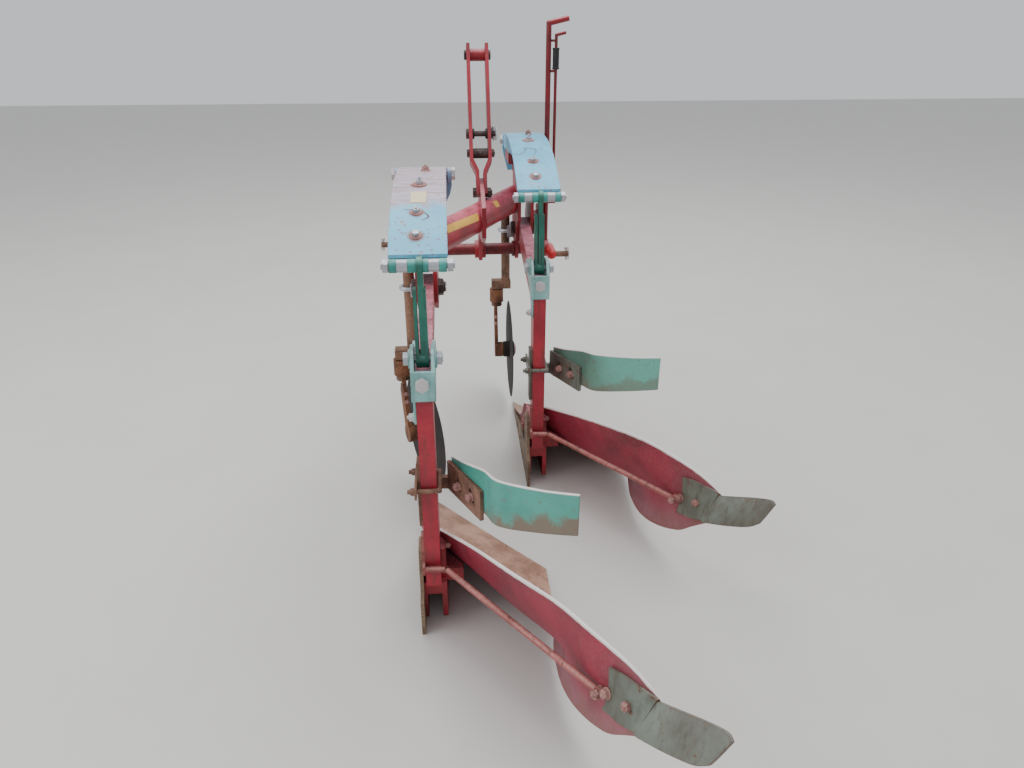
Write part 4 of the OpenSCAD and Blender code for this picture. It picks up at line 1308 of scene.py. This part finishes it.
@dataclass
class PloughBody(Assembly):
    """The soil-working pieces of one unit.

    Thicknesses, gaps and places are in millimetres and the angle is in degrees. The bolts of the board,
    the tail piece and the stay are given by station and rise on the board. The tail piece's slot is in
    metres, and so are the heads, as width and height.
    """

    unit: Unit = Unit.REAR
    board_rows: int = 126
    board_cols: int = 36
    board_thick: float = 7.0
    tail_gap: float = 7.8
    tail_thick: float = 8.0
    tail_rows: int = 72
    tail_cols: int = 12
    slot_half: float = 0.013
    slot_radius: float = 0.0062
    trash_thick: float = 5.0
    trash_rows: int = 84
    trash_cols: int = 14
    trash_corner: tuple[float, float] = (46.0, 124.0)
    trash_angle: float = -62.5
    plate_thick: float = 10.0
    slot_at: tuple[tuple[float, float], ...] = ((62.0, 46.0), (128.0, 50.0))
    plate_low: float = 396.0
    board_bolts: tuple[tuple[float, float], ...] = ((0.5, 0.3), (0.5, 0.72), (1.3, 0.28), (1.3, 0.7))
    tail_bolts: tuple[tuple[float, float], ...] = ((4.93, 0.70), (5.75, 0.75))
    stay_seat: tuple[float, float] = (4.7, 0.68)
    stay_stands: float = 16.6
    board_head: tuple[float, float] = (0.020, 0.0014)
    trash_head: tuple[float, float] = (0.024, 0.005)
    landside_head: tuple[float, float] = (0.024, 0.004)
    frog_nut_seats: tuple[Point, ...] = (
        (34.0, 108.0, 228.0), (-28.0, 165.0, 205.0), (-28.0, 230.0, 140.0),
    )
    landside_seats: tuple[Point, ...] = (
        (-38.0, 150.0, 52.0), (-38.0, 300.0, 46.0), (-38.0, 420.0, 36.0),
    )

    def world(self, point: Vector) -> Vector:
        """A point given in millimetres from the datum, in metres in the frame."""
        return self.unit.at(*point)

    @property
    def tail_square(self) -> Vector:
        """The direction square to the tail piece, away from the board."""
        return BoardFace.back(6.6, 0.5)

    def mouldboard(self) -> None:
        """Builds the board as one smooth sheet."""
        rows, cols = self.board_rows, self.board_cols
        front, rear = [], []
        for i in range(rows + 1):
            s = BoardFace.last * i / rows
            front.append([self.world(BoardFace.point(s, t)) for t in shares(cols)])
            rear.append([self.world(BoardFace.behind(s, t, self.board_thick)) for t in shares(cols)])
        board = MeshMaker()
        board.plate(front, rear, shares(cols), shares(rows))
        node = self.unit.node("mouldboard")
        piece = board.make(f"{node}_sheet", rounding=0.0014)
        self.place(piece, "frame", "board_red", "board_red", node)
        heads = MeshMaker()
        for s, t in (*self.board_bolts, self.stay_seat, *self.tail_bolts):
            heads.dome(self.world(BoardFace.point(s, t)), -BoardFace.back(s, t), *self.board_head)
        self.place(heads.make(f"{self.unit.key}_plough_bolts"), "frame", "worn_steel", "worn_steel")

    def tail_grid(self, lift: float) -> Grid:
        """Points of the tail piece's one side.

        Args:
            lift: Distance from the side next to the board, in millimetres.

        Returns:
            The grid, row by row, from its lower to its upper edge.
        """
        spans = TAIL_KNOTS - 1
        rows = []
        for low_s, low_t, high_s, high_t in TAIL_LAID:
            rows.append([
                BoardFace.behind(low_s + (high_s - low_s) * k, low_t + (high_t - low_t) * k, self.tail_gap)
                for k in shares(spans)
            ])
        for low, high, first, final in TAIL_FREE:
            rows.append([
                BoardFace.behind(7.0, first + (final - first) * k, self.tail_gap)
                + TAIL_RUN * (low + (high - low) * k)
                for k in shares(spans)
            ])
        square = self.tail_square
        flat = tuple(tuple(c for p in row for c in p + square * lift) for row in rows)
        grid = []
        for i in range(self.tail_rows + 1):
            at = spline(flat, (len(flat) - 1) * i / self.tail_rows)
            knots = tuple(tuple(Vector(at[3 * j:3 * j + 3])) for j in range(TAIL_KNOTS))
            grid.append([
                self.world(Vector(spline(knots, spans * j / self.tail_cols)))
                for j in range(self.tail_cols + 1)
            ])
        return grid

    def tail_piece(self) -> None:
        """Builds the tail piece with the slot for its first bolt."""
        near, far = self.tail_grid(0.0), self.tail_grid(self.tail_thick)
        sheet = MeshMaker()
        sheet.plate(near, far, shares(self.tail_cols), shares(self.tail_rows))
        node = self.unit.node("tail_piece")
        piece = sheet.make(f"{node}_sheet", rounding=0.0012)
        slot = MeshMaker()
        s, t = self.tail_bolts[0]
        square = self.tail_square
        middle = self.world(BoardFace.behind(s + 0.02, t + 0.005, self.tail_gap))
        above, below = BoardFace.point(4.9, 0.825), BoardFace.point(5.1, 0.64)
        upward = (self.world(above) - self.world(below)).normalized()
        side = square.cross(upward).normalized()
        half, radius = self.slot_half, self.slot_radius
        outline = []
        for k in range(24):
            a = 2 * math.pi * k / 24
            shift = half if math.sin(a) >= 0 else -half
            outline.append(side * (radius * math.cos(a)) + upward * (radius * math.sin(a) + shift))
        slot.ring_stack([[middle + square * h + p for p in outline] for h in (-0.02, 0.03)])
        cutter = slot.make(f"{node}_cutter")
        cut = piece.modifiers.new("slot", "BOOLEAN")
        cut.operation = "DIFFERENCE"
        cut.solver = "EXACT"
        cut.object = cutter
        bpy.context.view_layer.update()
        shaped = bpy.data.meshes.new_from_object(piece.evaluated_get(bpy.context.evaluated_depsgraph_get()))
        piece.modifiers.clear()
        piece.data = shaped
        bpy.data.objects.remove(cutter)
        self.place(piece, "frame", "tail_grey", "tail_grey", node)
        bolts = MeshMaker()
        for turn, (s, t) in enumerate(self.tail_bolts):
            seat = self.world(BoardFace.behind(s, t, self.tail_gap) + square * (self.tail_thick - 0.4))
            bolts.bolt(seat, square, NUT_FLATS, NUT_WASHER if turn == 0 else 0.0, THREAD_END, 0.2 + turn)
        s, t = self.stay_seat
        normal = BoardFace.back(s, t)
        seat = self.world(BoardFace.behind(s, t, self.board_thick + 0.9) + normal * self.stay_stands)
        bolts.bolt(seat, normal, NUT_FLATS, 0.0, THREAD_END, 0.7)
        self.place(bolts.make(f"{self.unit.key}_back_nuts"), "frame", "rose_nut")

    def trash_board(self) -> None:
        """Builds the trash board as one smooth sheet."""
        angle = math.radians(self.trash_angle)
        way = (math.cos(angle), math.sin(angle))
        out = (-way[1], way[0])
        gap = self.plate_thick + 0.3
        corner_x, corner_y = self.trash_corner
        laid = tuple(
            (corner_x + way[0] * q + out[0] * gap, corner_y + way[1] * q + out[1] * gap, low, high)
            for q, low, high in TRASH_LAID
        )
        table = laid + TRASH_FREE
        last = len(table) - 1
        steps, cols = self.trash_rows, self.trash_cols
        near, far = [], []
        for i in range(steps + 1):
            u = last * i / steps
            x, y, low, high = spline(table, u)
            a, b = spline(table, min(u + 0.05, last)), spline(table, max(u - 0.05, 0.0))
            normal = Vector((-(a[1] - b[1]), a[0] - b[0], 0.0)).normalized() * self.trash_thick
            column = [Vector((x, y, low + (high - low) * j / cols)) for j in range(cols + 1)]
            near.append([self.world(p + normal) for p in column])
            far.append([self.world(p) for p in column])
        sheet = MeshMaker()
        sheet.plate(near, far, shares(cols), shares(steps))
        node = self.unit.node("trash_board")
        piece = sheet.make(f"{node}_sheet", rounding=0.0010)
        self.place(piece, "frame", f"trash_{self.unit.key}", "trash_turquoise", node)
        bolts, heads = MeshMaker(), MeshMaker()
        toward = Vector((-out[0], -out[1], 0.0))
        for turn, (reach, height) in enumerate(self.slot_at):
            base = Vector((corner_x + way[0] * reach, corner_y + way[1] * reach,
                           self.plate_low + height - 4))
            bolts.bolt(self.world(base), toward, NUT_FLATS, 0.024, 0.003, 0.5 + turn)
            heads.dome(self.world(base - toward * (gap + self.trash_thick)), -toward, *self.trash_head)
        self.place(bolts.make(f"{self.unit.key}_trash_nuts"), "frame", "rose_nut")
        self.place(heads.make(f"{self.unit.key}_trash_bolt_heads"), "frame", "worn_steel", "worn_steel")

    def frog_nuts(self) -> None:
        """Sets the nuts on the frog's two sides and the heads on the landside."""
        nuts = MeshMaker()
        for x, y, z in self.frog_nut_seats:
            out = RIGHT if x > 0 else LEFT
            nuts.bolt(self.unit.at(x, y, z), out, NUT_FLATS, 0.0, THREAD_END, y)
        self.place(nuts.make(f"{self.unit.key}_frog_nuts"), "frame", "rose_nut")
        low = MeshMaker()
        for x, y, z in self.landside_seats:
            low.dome(self.unit.at(x, y, z), LEFT, *self.landside_head)
        self.place(low.make(f"{self.unit.key}_landside_bolts"), "frame", "worn_steel", "worn_steel")

    def build(self) -> None:
        """Dresses the pieces and builds the sheets."""
        plate = "plate_rust" if self.unit is Unit.REAR else "plate_grey"
        for name, finish in (
            ("frog", "head_red"), ("landside", "worn_steel"), ("share", "share_tan"),
            ("stay_rod", "stay_red"), ("trash_bracket", plate),
        ):
            self.coat(self.unit.node(name), finish)
        self.mouldboard()
        self.tail_piece()
        self.trash_board()
        self.frog_nuts()


@dataclass
class Coulter(Assembly):
    """The disc coulter of one unit.

    Sizes are in millimetres and the turns at rest, rear and front, in degrees. The sizes of bolts and
    the radius of their circle are in metres.
    """

    unit: Unit = Unit.REAR
    swivel: tuple[float, float] = (-100.0, 748.0)
    rest_turn: tuple[float, float] = (20.0, 0.0)
    trail: float = 55.0
    hub_z: float = 252.0
    disc_x: float = 50.0
    disc_half: float = 2.0
    disc_radius: float = 203.0
    flange: tuple[float, float] = (24.1, 68.5)
    flange_radius: float = 33.0
    bore_radius: float = 12.6
    disc_bolts: int = 5
    bolt_circle: float = 0.045
    disc_bolt_flats: float = 0.013
    arm_bolts: tuple[tuple[float, float], ...] = ((-46.0, 366.0), (-40.0, 392.0))
    arm_nut_flats: float = 0.0125

    @property
    def turn(self) -> float:
        """The angle at which the coulter rests about its swivel, in radians."""
        return math.radians(self.unit.pick(self.rest_turn))

    @property
    def side(self) -> Vector:
        """The direction of the disc's axle."""
        return Vector((math.cos(self.turn), math.sin(self.turn), 0.0))

    @property
    def rearward(self) -> Vector:
        """The direction square to the arm's rear edge."""
        return Vector((math.sin(self.turn), -math.cos(self.turn), 0.0))

    def swung(self, x: float, y: float, z: float) -> Vector:
        """A point given about the swivel axis at its rest turn.

        Args:
            x: Sideways from the axis, in millimetres.
            y: Forward of the axis, in millimetres.
            z: Height, in millimetres.

        Returns:
            The point in the frame.
        """
        moved = Matrix.Rotation(self.turn, 3, "Z") @ Vector((x, y, 0.0))
        return self.unit.at(self.swivel[0] + moved.x, self.swivel[1] + moved.y, z)

    def disc(self) -> None:
        """Builds the disc with its ground edge, its flange and its cap."""
        key = self.unit.key
        base = self.swung(0.0, -self.trail, self.hub_z)
        sizes = (self.disc_x, self.disc_half, self.disc_radius, *self.flange, self.flange_radius,
                 self.bore_radius)
        middle, half, rim, near, far, boss, bore = (size / MM_PER_M for size in sizes)
        disc = MeshMaker()
        disc.turned(base, self.side, [
            (near, bore), (near, boss - 0.001), (near + 0.001, boss), (middle - half, boss),
            (middle - half, rim - 0.014), (middle - 0.0004, rim), (middle + 0.0004, rim),
            (middle + half, rim - 0.014), (middle + half, boss), (far - 0.001, boss),
            (far, boss - 0.001), (far, bore),
        ], 96, True)
        node = self.unit.node("disc")
        self.place(disc.make(f"{node}_ground"), f"{key}_disc", "scale_black", "dark_steel", node)
        bolts = MeshMaker()
        for k in range(self.disc_bolts):
            a = 2 * math.pi * k / self.disc_bolts
            out = UP * math.cos(a) + self.side.cross(UP) * math.sin(a)
            seat = base + self.side * (middle + half) + out * self.bolt_circle
            bolts.bolt(seat, self.side, self.disc_bolt_flats, 0.0, 0.002, a)
        self.place(bolts.make(f"{key}_disc_bolts"), f"{key}_disc", "dark_bolt", "dark_bolt")
        cap = MeshMaker()
        cap.turned(base + self.side * (far - 0.0004), self.side, [
            (0.0, 0.0262), (0.0018, 0.0262), (0.0052, 0.0238), (0.008, 0.0165), (0.0094, 0.004),
        ], 40)
        self.place(cap.make(f"{key}_hub_cap"), f"{key}_disc", "cap_rose")

    def arm_nuts(self) -> None:
        """Sets the two nuts on the arm's rear edge."""
        nuts = MeshMaker()
        for y, z in self.arm_bolts:
            nuts.bolt(self.swung(-5.0, y, z), self.rearward, self.arm_nut_flats, 0.0, 0.003, z)
        self.place(nuts.make(f"{self.unit.key}_arm_nuts"), f"{self.unit.key}_coulter", "rose_nut")

    def build(self) -> None:
        """Dresses the pieces and builds the disc."""
        for name, finish in (
            ("coulter_stem", "stem_brown"), ("coulter_clamp", "galvanised"), ("coulter_arm", "rusty_steel"),
        ):
            self.coat(self.unit.node(name), finish)
        self.disc()
        self.arm_nuts()


@dataclass(frozen=True)
class TubePlate:
    """A blank plate on the tube, by place along it in millimetres and angle round it in degrees.

    The shear is how far its upper edge is set along the tube from its lower edge.
    """

    name: str
    first: float
    first_angle: float
    last: float
    last_angle: float
    span: float
    shear: float


@dataclass
class Hitch(Assembly):
    """The tube, the headstock, the mast, the cross shaft and the hand lever.

    Sizes and places are in millimetres and the mast's lean is in radians. The reach and ring of the
    linch pins and the radius of the weld bead are in metres.
    """

    tube_way: Point = (0.45077, 0.89264, 0.0)
    tube_start: Point = (0.0, 690.0, 900.0)
    tube_radius: float = 47.5
    weld_planes: tuple[float, ...] = (32.5, 179.5, 194.5, 322.5)
    latch_x: float = 114.0
    shaft_y: float = 650.0
    shaft_z: float = 698.0
    shaft_ends: tuple[float, float] = (-496.0, 96.0)
    shaft_radius: float = 22.5
    arm_x: tuple[float, float] = (-494.5, 102.5)
    arm_radius: float = 19.5
    crank: float = 92.0
    pin_radius: float = 11.0
    pin_ends: tuple[float, float] = (-560.0, 168.0)
    mast_foot: Point = (-168.0, 400.0, 968.0)
    mast_lean: float = math.atan2(600.0 - 400.0, 1400.0 - 968.0)
    top_pin_reach: float = 204.0
    link_linch_x: tuple[float, float] = (-550.0, 158.0)
    top_linch_x: float = 48.0
    link_linch_reach: float = 0.011
    top_linch_reach: float = 0.0095
    linch_ring: float = 0.0235
    collar_spans: tuple[tuple[float, float], ...] = ((-25.8, -19.0), (19.0, 25.8), (38.2, 43.6))
    shaft_collars: tuple[float, float] = (-44.0, 33.0)
    sleeve_z: float = 1349.4
    weld_radius: float = 0.0034
    plates: tuple[TubePlate, ...] = (
        TubePlate("tube_label", 72.0, 43.0, 291.0, 31.0, 29.0, 14.0),
        TubePlate("tube_badge", 441.0, 46.0, 471.0, 42.0, 29.0, 10.0),
    )

    def on_tube(self, along: float, degrees: float, lift: float = 0.0) -> Vector:
        """A point on the main tube.

        Args:
            along: Distance along its axis from the rear head's middle, in millimetres.
            degrees: Angle round it, 0 to the right and 90 on top.
            lift: Height over its face, in millimetres.

        Returns:
            The point.
        """
        way = Vector(self.tube_way)
        out = Vector((way.y, -way.x, 0.0))
        a = math.radians(degrees)
        reach = self.tube_radius + lift
        level = Vector(self.tube_start) + way * along + out * (reach * math.cos(a))
        return Unit.REAR.at(*(level + Vector((0.0, 0.0, reach * math.sin(a)))))

    def labels(self) -> None:
        """Lays the two blank plates on the tube."""
        rows, cols = 32, 8
        for plate in self.plates:
            span, shear = plate.span, plate.shear
            near, far = [], []
            for k in shares(rows):
                along = plate.first + (plate.last - plate.first) * k
                middle = plate.first_angle + (plate.last_angle - plate.first_angle) * k
                angles = [middle - span / 2 + span * j / cols for j in range(cols + 1)]
                near.append([self.on_tube(along + shear * (a - middle) / span, a, 0.1) for a in angles])
                far.append([self.on_tube(along + shear * (a - middle) / span, a, 0.9) for a in angles])
            sheet = MeshMaker()
            sheet.plate(near, far, [0.5] * (cols + 1), [0.5] * (rows + 1))
            self.place(sheet.make(plate.name, rounding=0.0002), "frame", "label_yellow")

    def welds(self) -> None:
        """Runs weld beads round the tube where plates meet it."""
        bead = MeshMaker()
        way, steps = Vector(self.tube_way), 72
        for plane in self.weld_planes:
            path = []
            for k in range(steps):
                degrees = 360.0 * k / steps
                along = (plane - self.tube_radius * math.cos(math.radians(degrees)) * way.y) / way.x
                path.append(self.on_tube(along, degrees, 0.6))
            bead.tube(path, self.weld_radius, 8, True, 0.16)
        self.place(bead.make("tube_welds", 1.2), "frame", "tube_red", "tube_red")

    def linch_pin(self, name: str, body: str, spot: Vector, axis: Vector, reach: float) -> None:
        """Puts a linch pin through the end of a pin.

        Args:
            name: The piece's name.
            body: The body it rides on.
            spot: The place on the pin's axis.
            axis: The pin's direction, outward.
            reach: The pin's radius, in metres.
        """
        pin = MeshMaker()
        through = 2 * reach
        pin.turned(spot - UP * (reach + 0.014), UP, [
            (0.0, 0.002), (0.004, 0.0035), (through + 0.020, 0.0035), (through + 0.021, 0.007),
            (through + 0.029, 0.007), (through + 0.030, 0.005),
        ], 20)
        across = axis.cross(UP)
        path = []
        middle, ring, steps = spot + axis * 0.0075, self.linch_ring, 40
        for k in range(steps):
            a = 2 * math.pi * k / steps
            path.append(middle + UP * (ring * math.cos(a) + 0.002) + across * (ring * math.sin(a)))
        pin.tube(path, 0.0016, 8, True)
        self.place(pin.make(name), body, "zinc_pale")

    def pins(self) -> None:
        """Puts the linch pins in the lower link pins and the top link pin."""
        front = Unit.FRONT
        left_x, right_x = self.link_linch_x
        right_spot = front.at(right_x, self.shaft_y - self.crank, self.shaft_z)
        left_spot = front.at(left_x, self.shaft_y + self.crank, self.shaft_z)
        self.linch_pin("right_linch_pin", "cross_shaft", right_spot, RIGHT, self.link_linch_reach)
        self.linch_pin("left_linch_pin", "cross_shaft", left_spot, LEFT, self.link_linch_reach)
        lean, reach = self.mast_lean, self.top_pin_reach
        x, y, z = self.mast_foot
        y, z = y + reach * math.sin(lean), z + reach * math.cos(lean)
        top_spot = front.at(x + self.top_linch_x, y, z)
        self.linch_pin("top_linch_pin", "frame", top_spot, RIGHT, self.top_linch_reach)
        collars = MeshMaker()
        for start, end in self.collar_spans:
            wide = (end - start) / MM_PER_M
            collars.turned(front.at(x + start, y, z), RIGHT, [
                (0.0, 0.0165), (0.0012, 0.0175), (wide - 0.0012, 0.0175), (wide, 0.0165),
            ], 32)
        self.place(collars.make("top_pin_collars"), "frame", "sleeve_black")

    def sleeve(self) -> None:
        """Slips the black sleeve with its collars over the latch rod."""
        sleeve = MeshMaker()
        sleeve.turned(Unit.FRONT.at(self.latch_x, self.shaft_y, self.sleeve_z), UP, [
            (0.0, 0.0114), (0.0006, 0.0125), (0.0060, 0.0125), (0.0066, 0.0114), (0.0646, 0.0114),
            (0.0652, 0.0125), (0.0706, 0.0125), (0.0712, 0.0114),
        ], 28)
        self.place(sleeve.make("latch_sleeve"), "cross_shaft", "sleeve_black")

    def shaft(self) -> None:
        """Builds the cross shaft as a round bar with its collars, its two cranks and their link pins."""
        front = Unit.FRONT
        bar = MeshMaker()
        low, high = self.shaft_ends
        length, radius = (high - low) / MM_PER_M, self.shaft_radius / MM_PER_M
        bar.turned(front.at(low, self.shaft_y, self.shaft_z), RIGHT, [
            (0.0, radius - 0.002), (0.002, radius), (length - 0.002, radius), (length, radius - 0.002),
        ], 48)
        for x in self.shaft_collars:
            bar.turned(front.at(x, self.shaft_y, self.shaft_z), RIGHT, [
                (0.0, 0.0295), (0.001, 0.0305), (0.010, 0.0305), (0.011, 0.0295),
            ], 40)
        self.place(bar.make("cross_shaft_bar"), "cross_shaft", "shaft_red", "tube_red", "cross_shaft")
        for name, finish, way, x, pin in (
            ("left_crank", "shaft_red", 1.0, self.arm_x[0], self.pin_ends[0]),
            ("right_crank", "elbow_red", -1.0, self.arm_x[1], self.pin_ends[1]),
        ):
            arm, reach, thick = MeshMaker(), self.crank / MM_PER_M, self.arm_radius / MM_PER_M
            quarter = [math.radians(8 + 82 * k / 8) for k in range(9)]
            profile = [(-thick * math.cos(a), thick * math.sin(a)) for a in quarter]
            profile += [(reach + thick * math.cos(a), thick * math.sin(a)) for a in reversed(quarter)]
            arm.turned(front.at(x, self.shaft_y, self.shaft_z), Vector((0.0, way, 0.0)), profile, 36)
            self.place(arm.make(name), "cross_shaft", finish, "tube_red")
            stub, out = MeshMaker(), -way * RIGHT
            reach, thick = abs(pin - x) / MM_PER_M, self.pin_radius / MM_PER_M
            stub.turned(front.at(x, self.shaft_y + way * self.crank, self.shaft_z), out, [
                (0.004, thick), (reach - 0.003, thick), (reach, 0.0085),
            ], 36)
            self.place(stub.make(f"{name}_pin"), "cross_shaft", "stem_brown")

    def build(self) -> None:
        """Dresses the pieces and adds the small ones."""
        for name, finish in (
            ("main_tube", "tube_red"), ("headstock_plate", "head_red"), ("mast_bar_left", "mast_red"),
            ("mast_bar_right", "mast_red"), ("mast_spacer", "mast_red"), ("top_link_pin", "dark_bolt"),
            ("mast_bolts", "dark_bolt"), ("hand_lever", "lever_red"),
            ("latch_rod", "lever_red"), ("quadrant", "head_red"),
        ):
            self.coat(name, finish)
        self.labels()
        self.welds()
        self.pins()
        self.sleeve()
        self.shaft()


@dataclass
class Studio:
    """The camera at the photograph's angle, the floor and the soft light.

    Places are in metres, the camera's angles in degrees, and its lens and sensor in millimetres.
    """

    camera_at: Point = (-0.259, -2.043, 1.52)
    camera_tilt: float = 64.47
    camera_turn: float = -4.5
    lens: float = 27.04
    sensor: float = 36.0
    clip: tuple[float, float] = (0.05, 80.0)
    floor_half: float = 14.0
    sky: tuple[float, float, float, float] = (0.93, 0.96, 1.0, 1.0)
    sky_strength: float = 0.75

    def camera(self) -> None:
        """Sets the camera up."""
        data = bpy.data.cameras.new("photo_camera")
        data.lens = self.lens
        data.sensor_width = self.sensor
        data.clip_start, data.clip_end = self.clip
        camera = bpy.data.objects.new("photo_camera", data)
        camera.location = self.camera_at
        camera.rotation_euler = (math.radians(self.camera_tilt), 0.0, math.radians(self.camera_turn))
        bpy.context.scene.collection.objects.link(camera)
        bpy.context.scene.camera = camera

    def floor(self) -> None:
        """Lays the pale floor."""
        h = self.floor_half
        mesh = bpy.data.meshes.new("floor")
        mesh.from_pydata([(-h, -h, 0), (h, -h, 0), (h, h, 0), (-h, h, 0)], [], [(0, 1, 2, 3)])
        floor = bpy.data.objects.new("floor", mesh)
        mesh.materials.append(StudioFloor().build())
        bpy.context.scene.collection.objects.link(floor)

    def lamp(self, name: str, place: Point, aim: Point, size: float, watts: float) -> None:
        """Hangs one large soft lamp.

        Args:
            name: Its name.
            place: Where it hangs.
            aim: The point it faces.
            size: Width and height.
            watts: Power.
        """
        data = bpy.data.lights.new(name, "AREA")
        data.shape = "SQUARE"
        data.size = size
        data.energy = watts
        lamp = bpy.data.objects.new(name, data)
        lamp.location = place
        lamp.rotation_euler = (Vector(aim) - Vector(place)).to_track_quat("-Z", "Y").to_euler()
        bpy.context.scene.collection.objects.link(lamp)

    def light(self) -> None:
        """Lights the studio like an overcast sky."""
        world = bpy.data.worlds.new("studio")
        bpy.context.scene.world = world
        world.use_nodes = True
        background = world.node_tree.nodes["Background"]
        background.inputs["Color"].default_value = self.sky
        background.inputs["Strength"].default_value = self.sky_strength
        self.lamp("sky_lamp", (0.4, 1.2, 5.5), (0.0, 0.0, 0.3), 5.0, 260.0)
        self.lamp("side_lamp", (-4.5, -1.5, 3.0), (0.0, 0.0, 0.6), 3.0, 90.0)

    def build(self) -> None:
        """Makes all of it."""
        self.camera()
        self.floor()
        self.light()


def main() -> None:
    """Builds the plough's looks piece by piece."""
    logging.basicConfig(level=logging.INFO, format="%(name)s: %(message)s", stream=sys.stdout)
    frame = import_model()
    random.seed(SEED)
    book = FinishBook()
    Studio().build()
    for unit in Unit:
        LeafSpring(book, frame, unit).build()
        Linkage(book, frame, unit).build()
        PloughBody(book, frame, unit).build()
        Coulter(book, frame, unit).build()
    Hitch(book, frame).build()


if __name__ == "__main__":
    main()
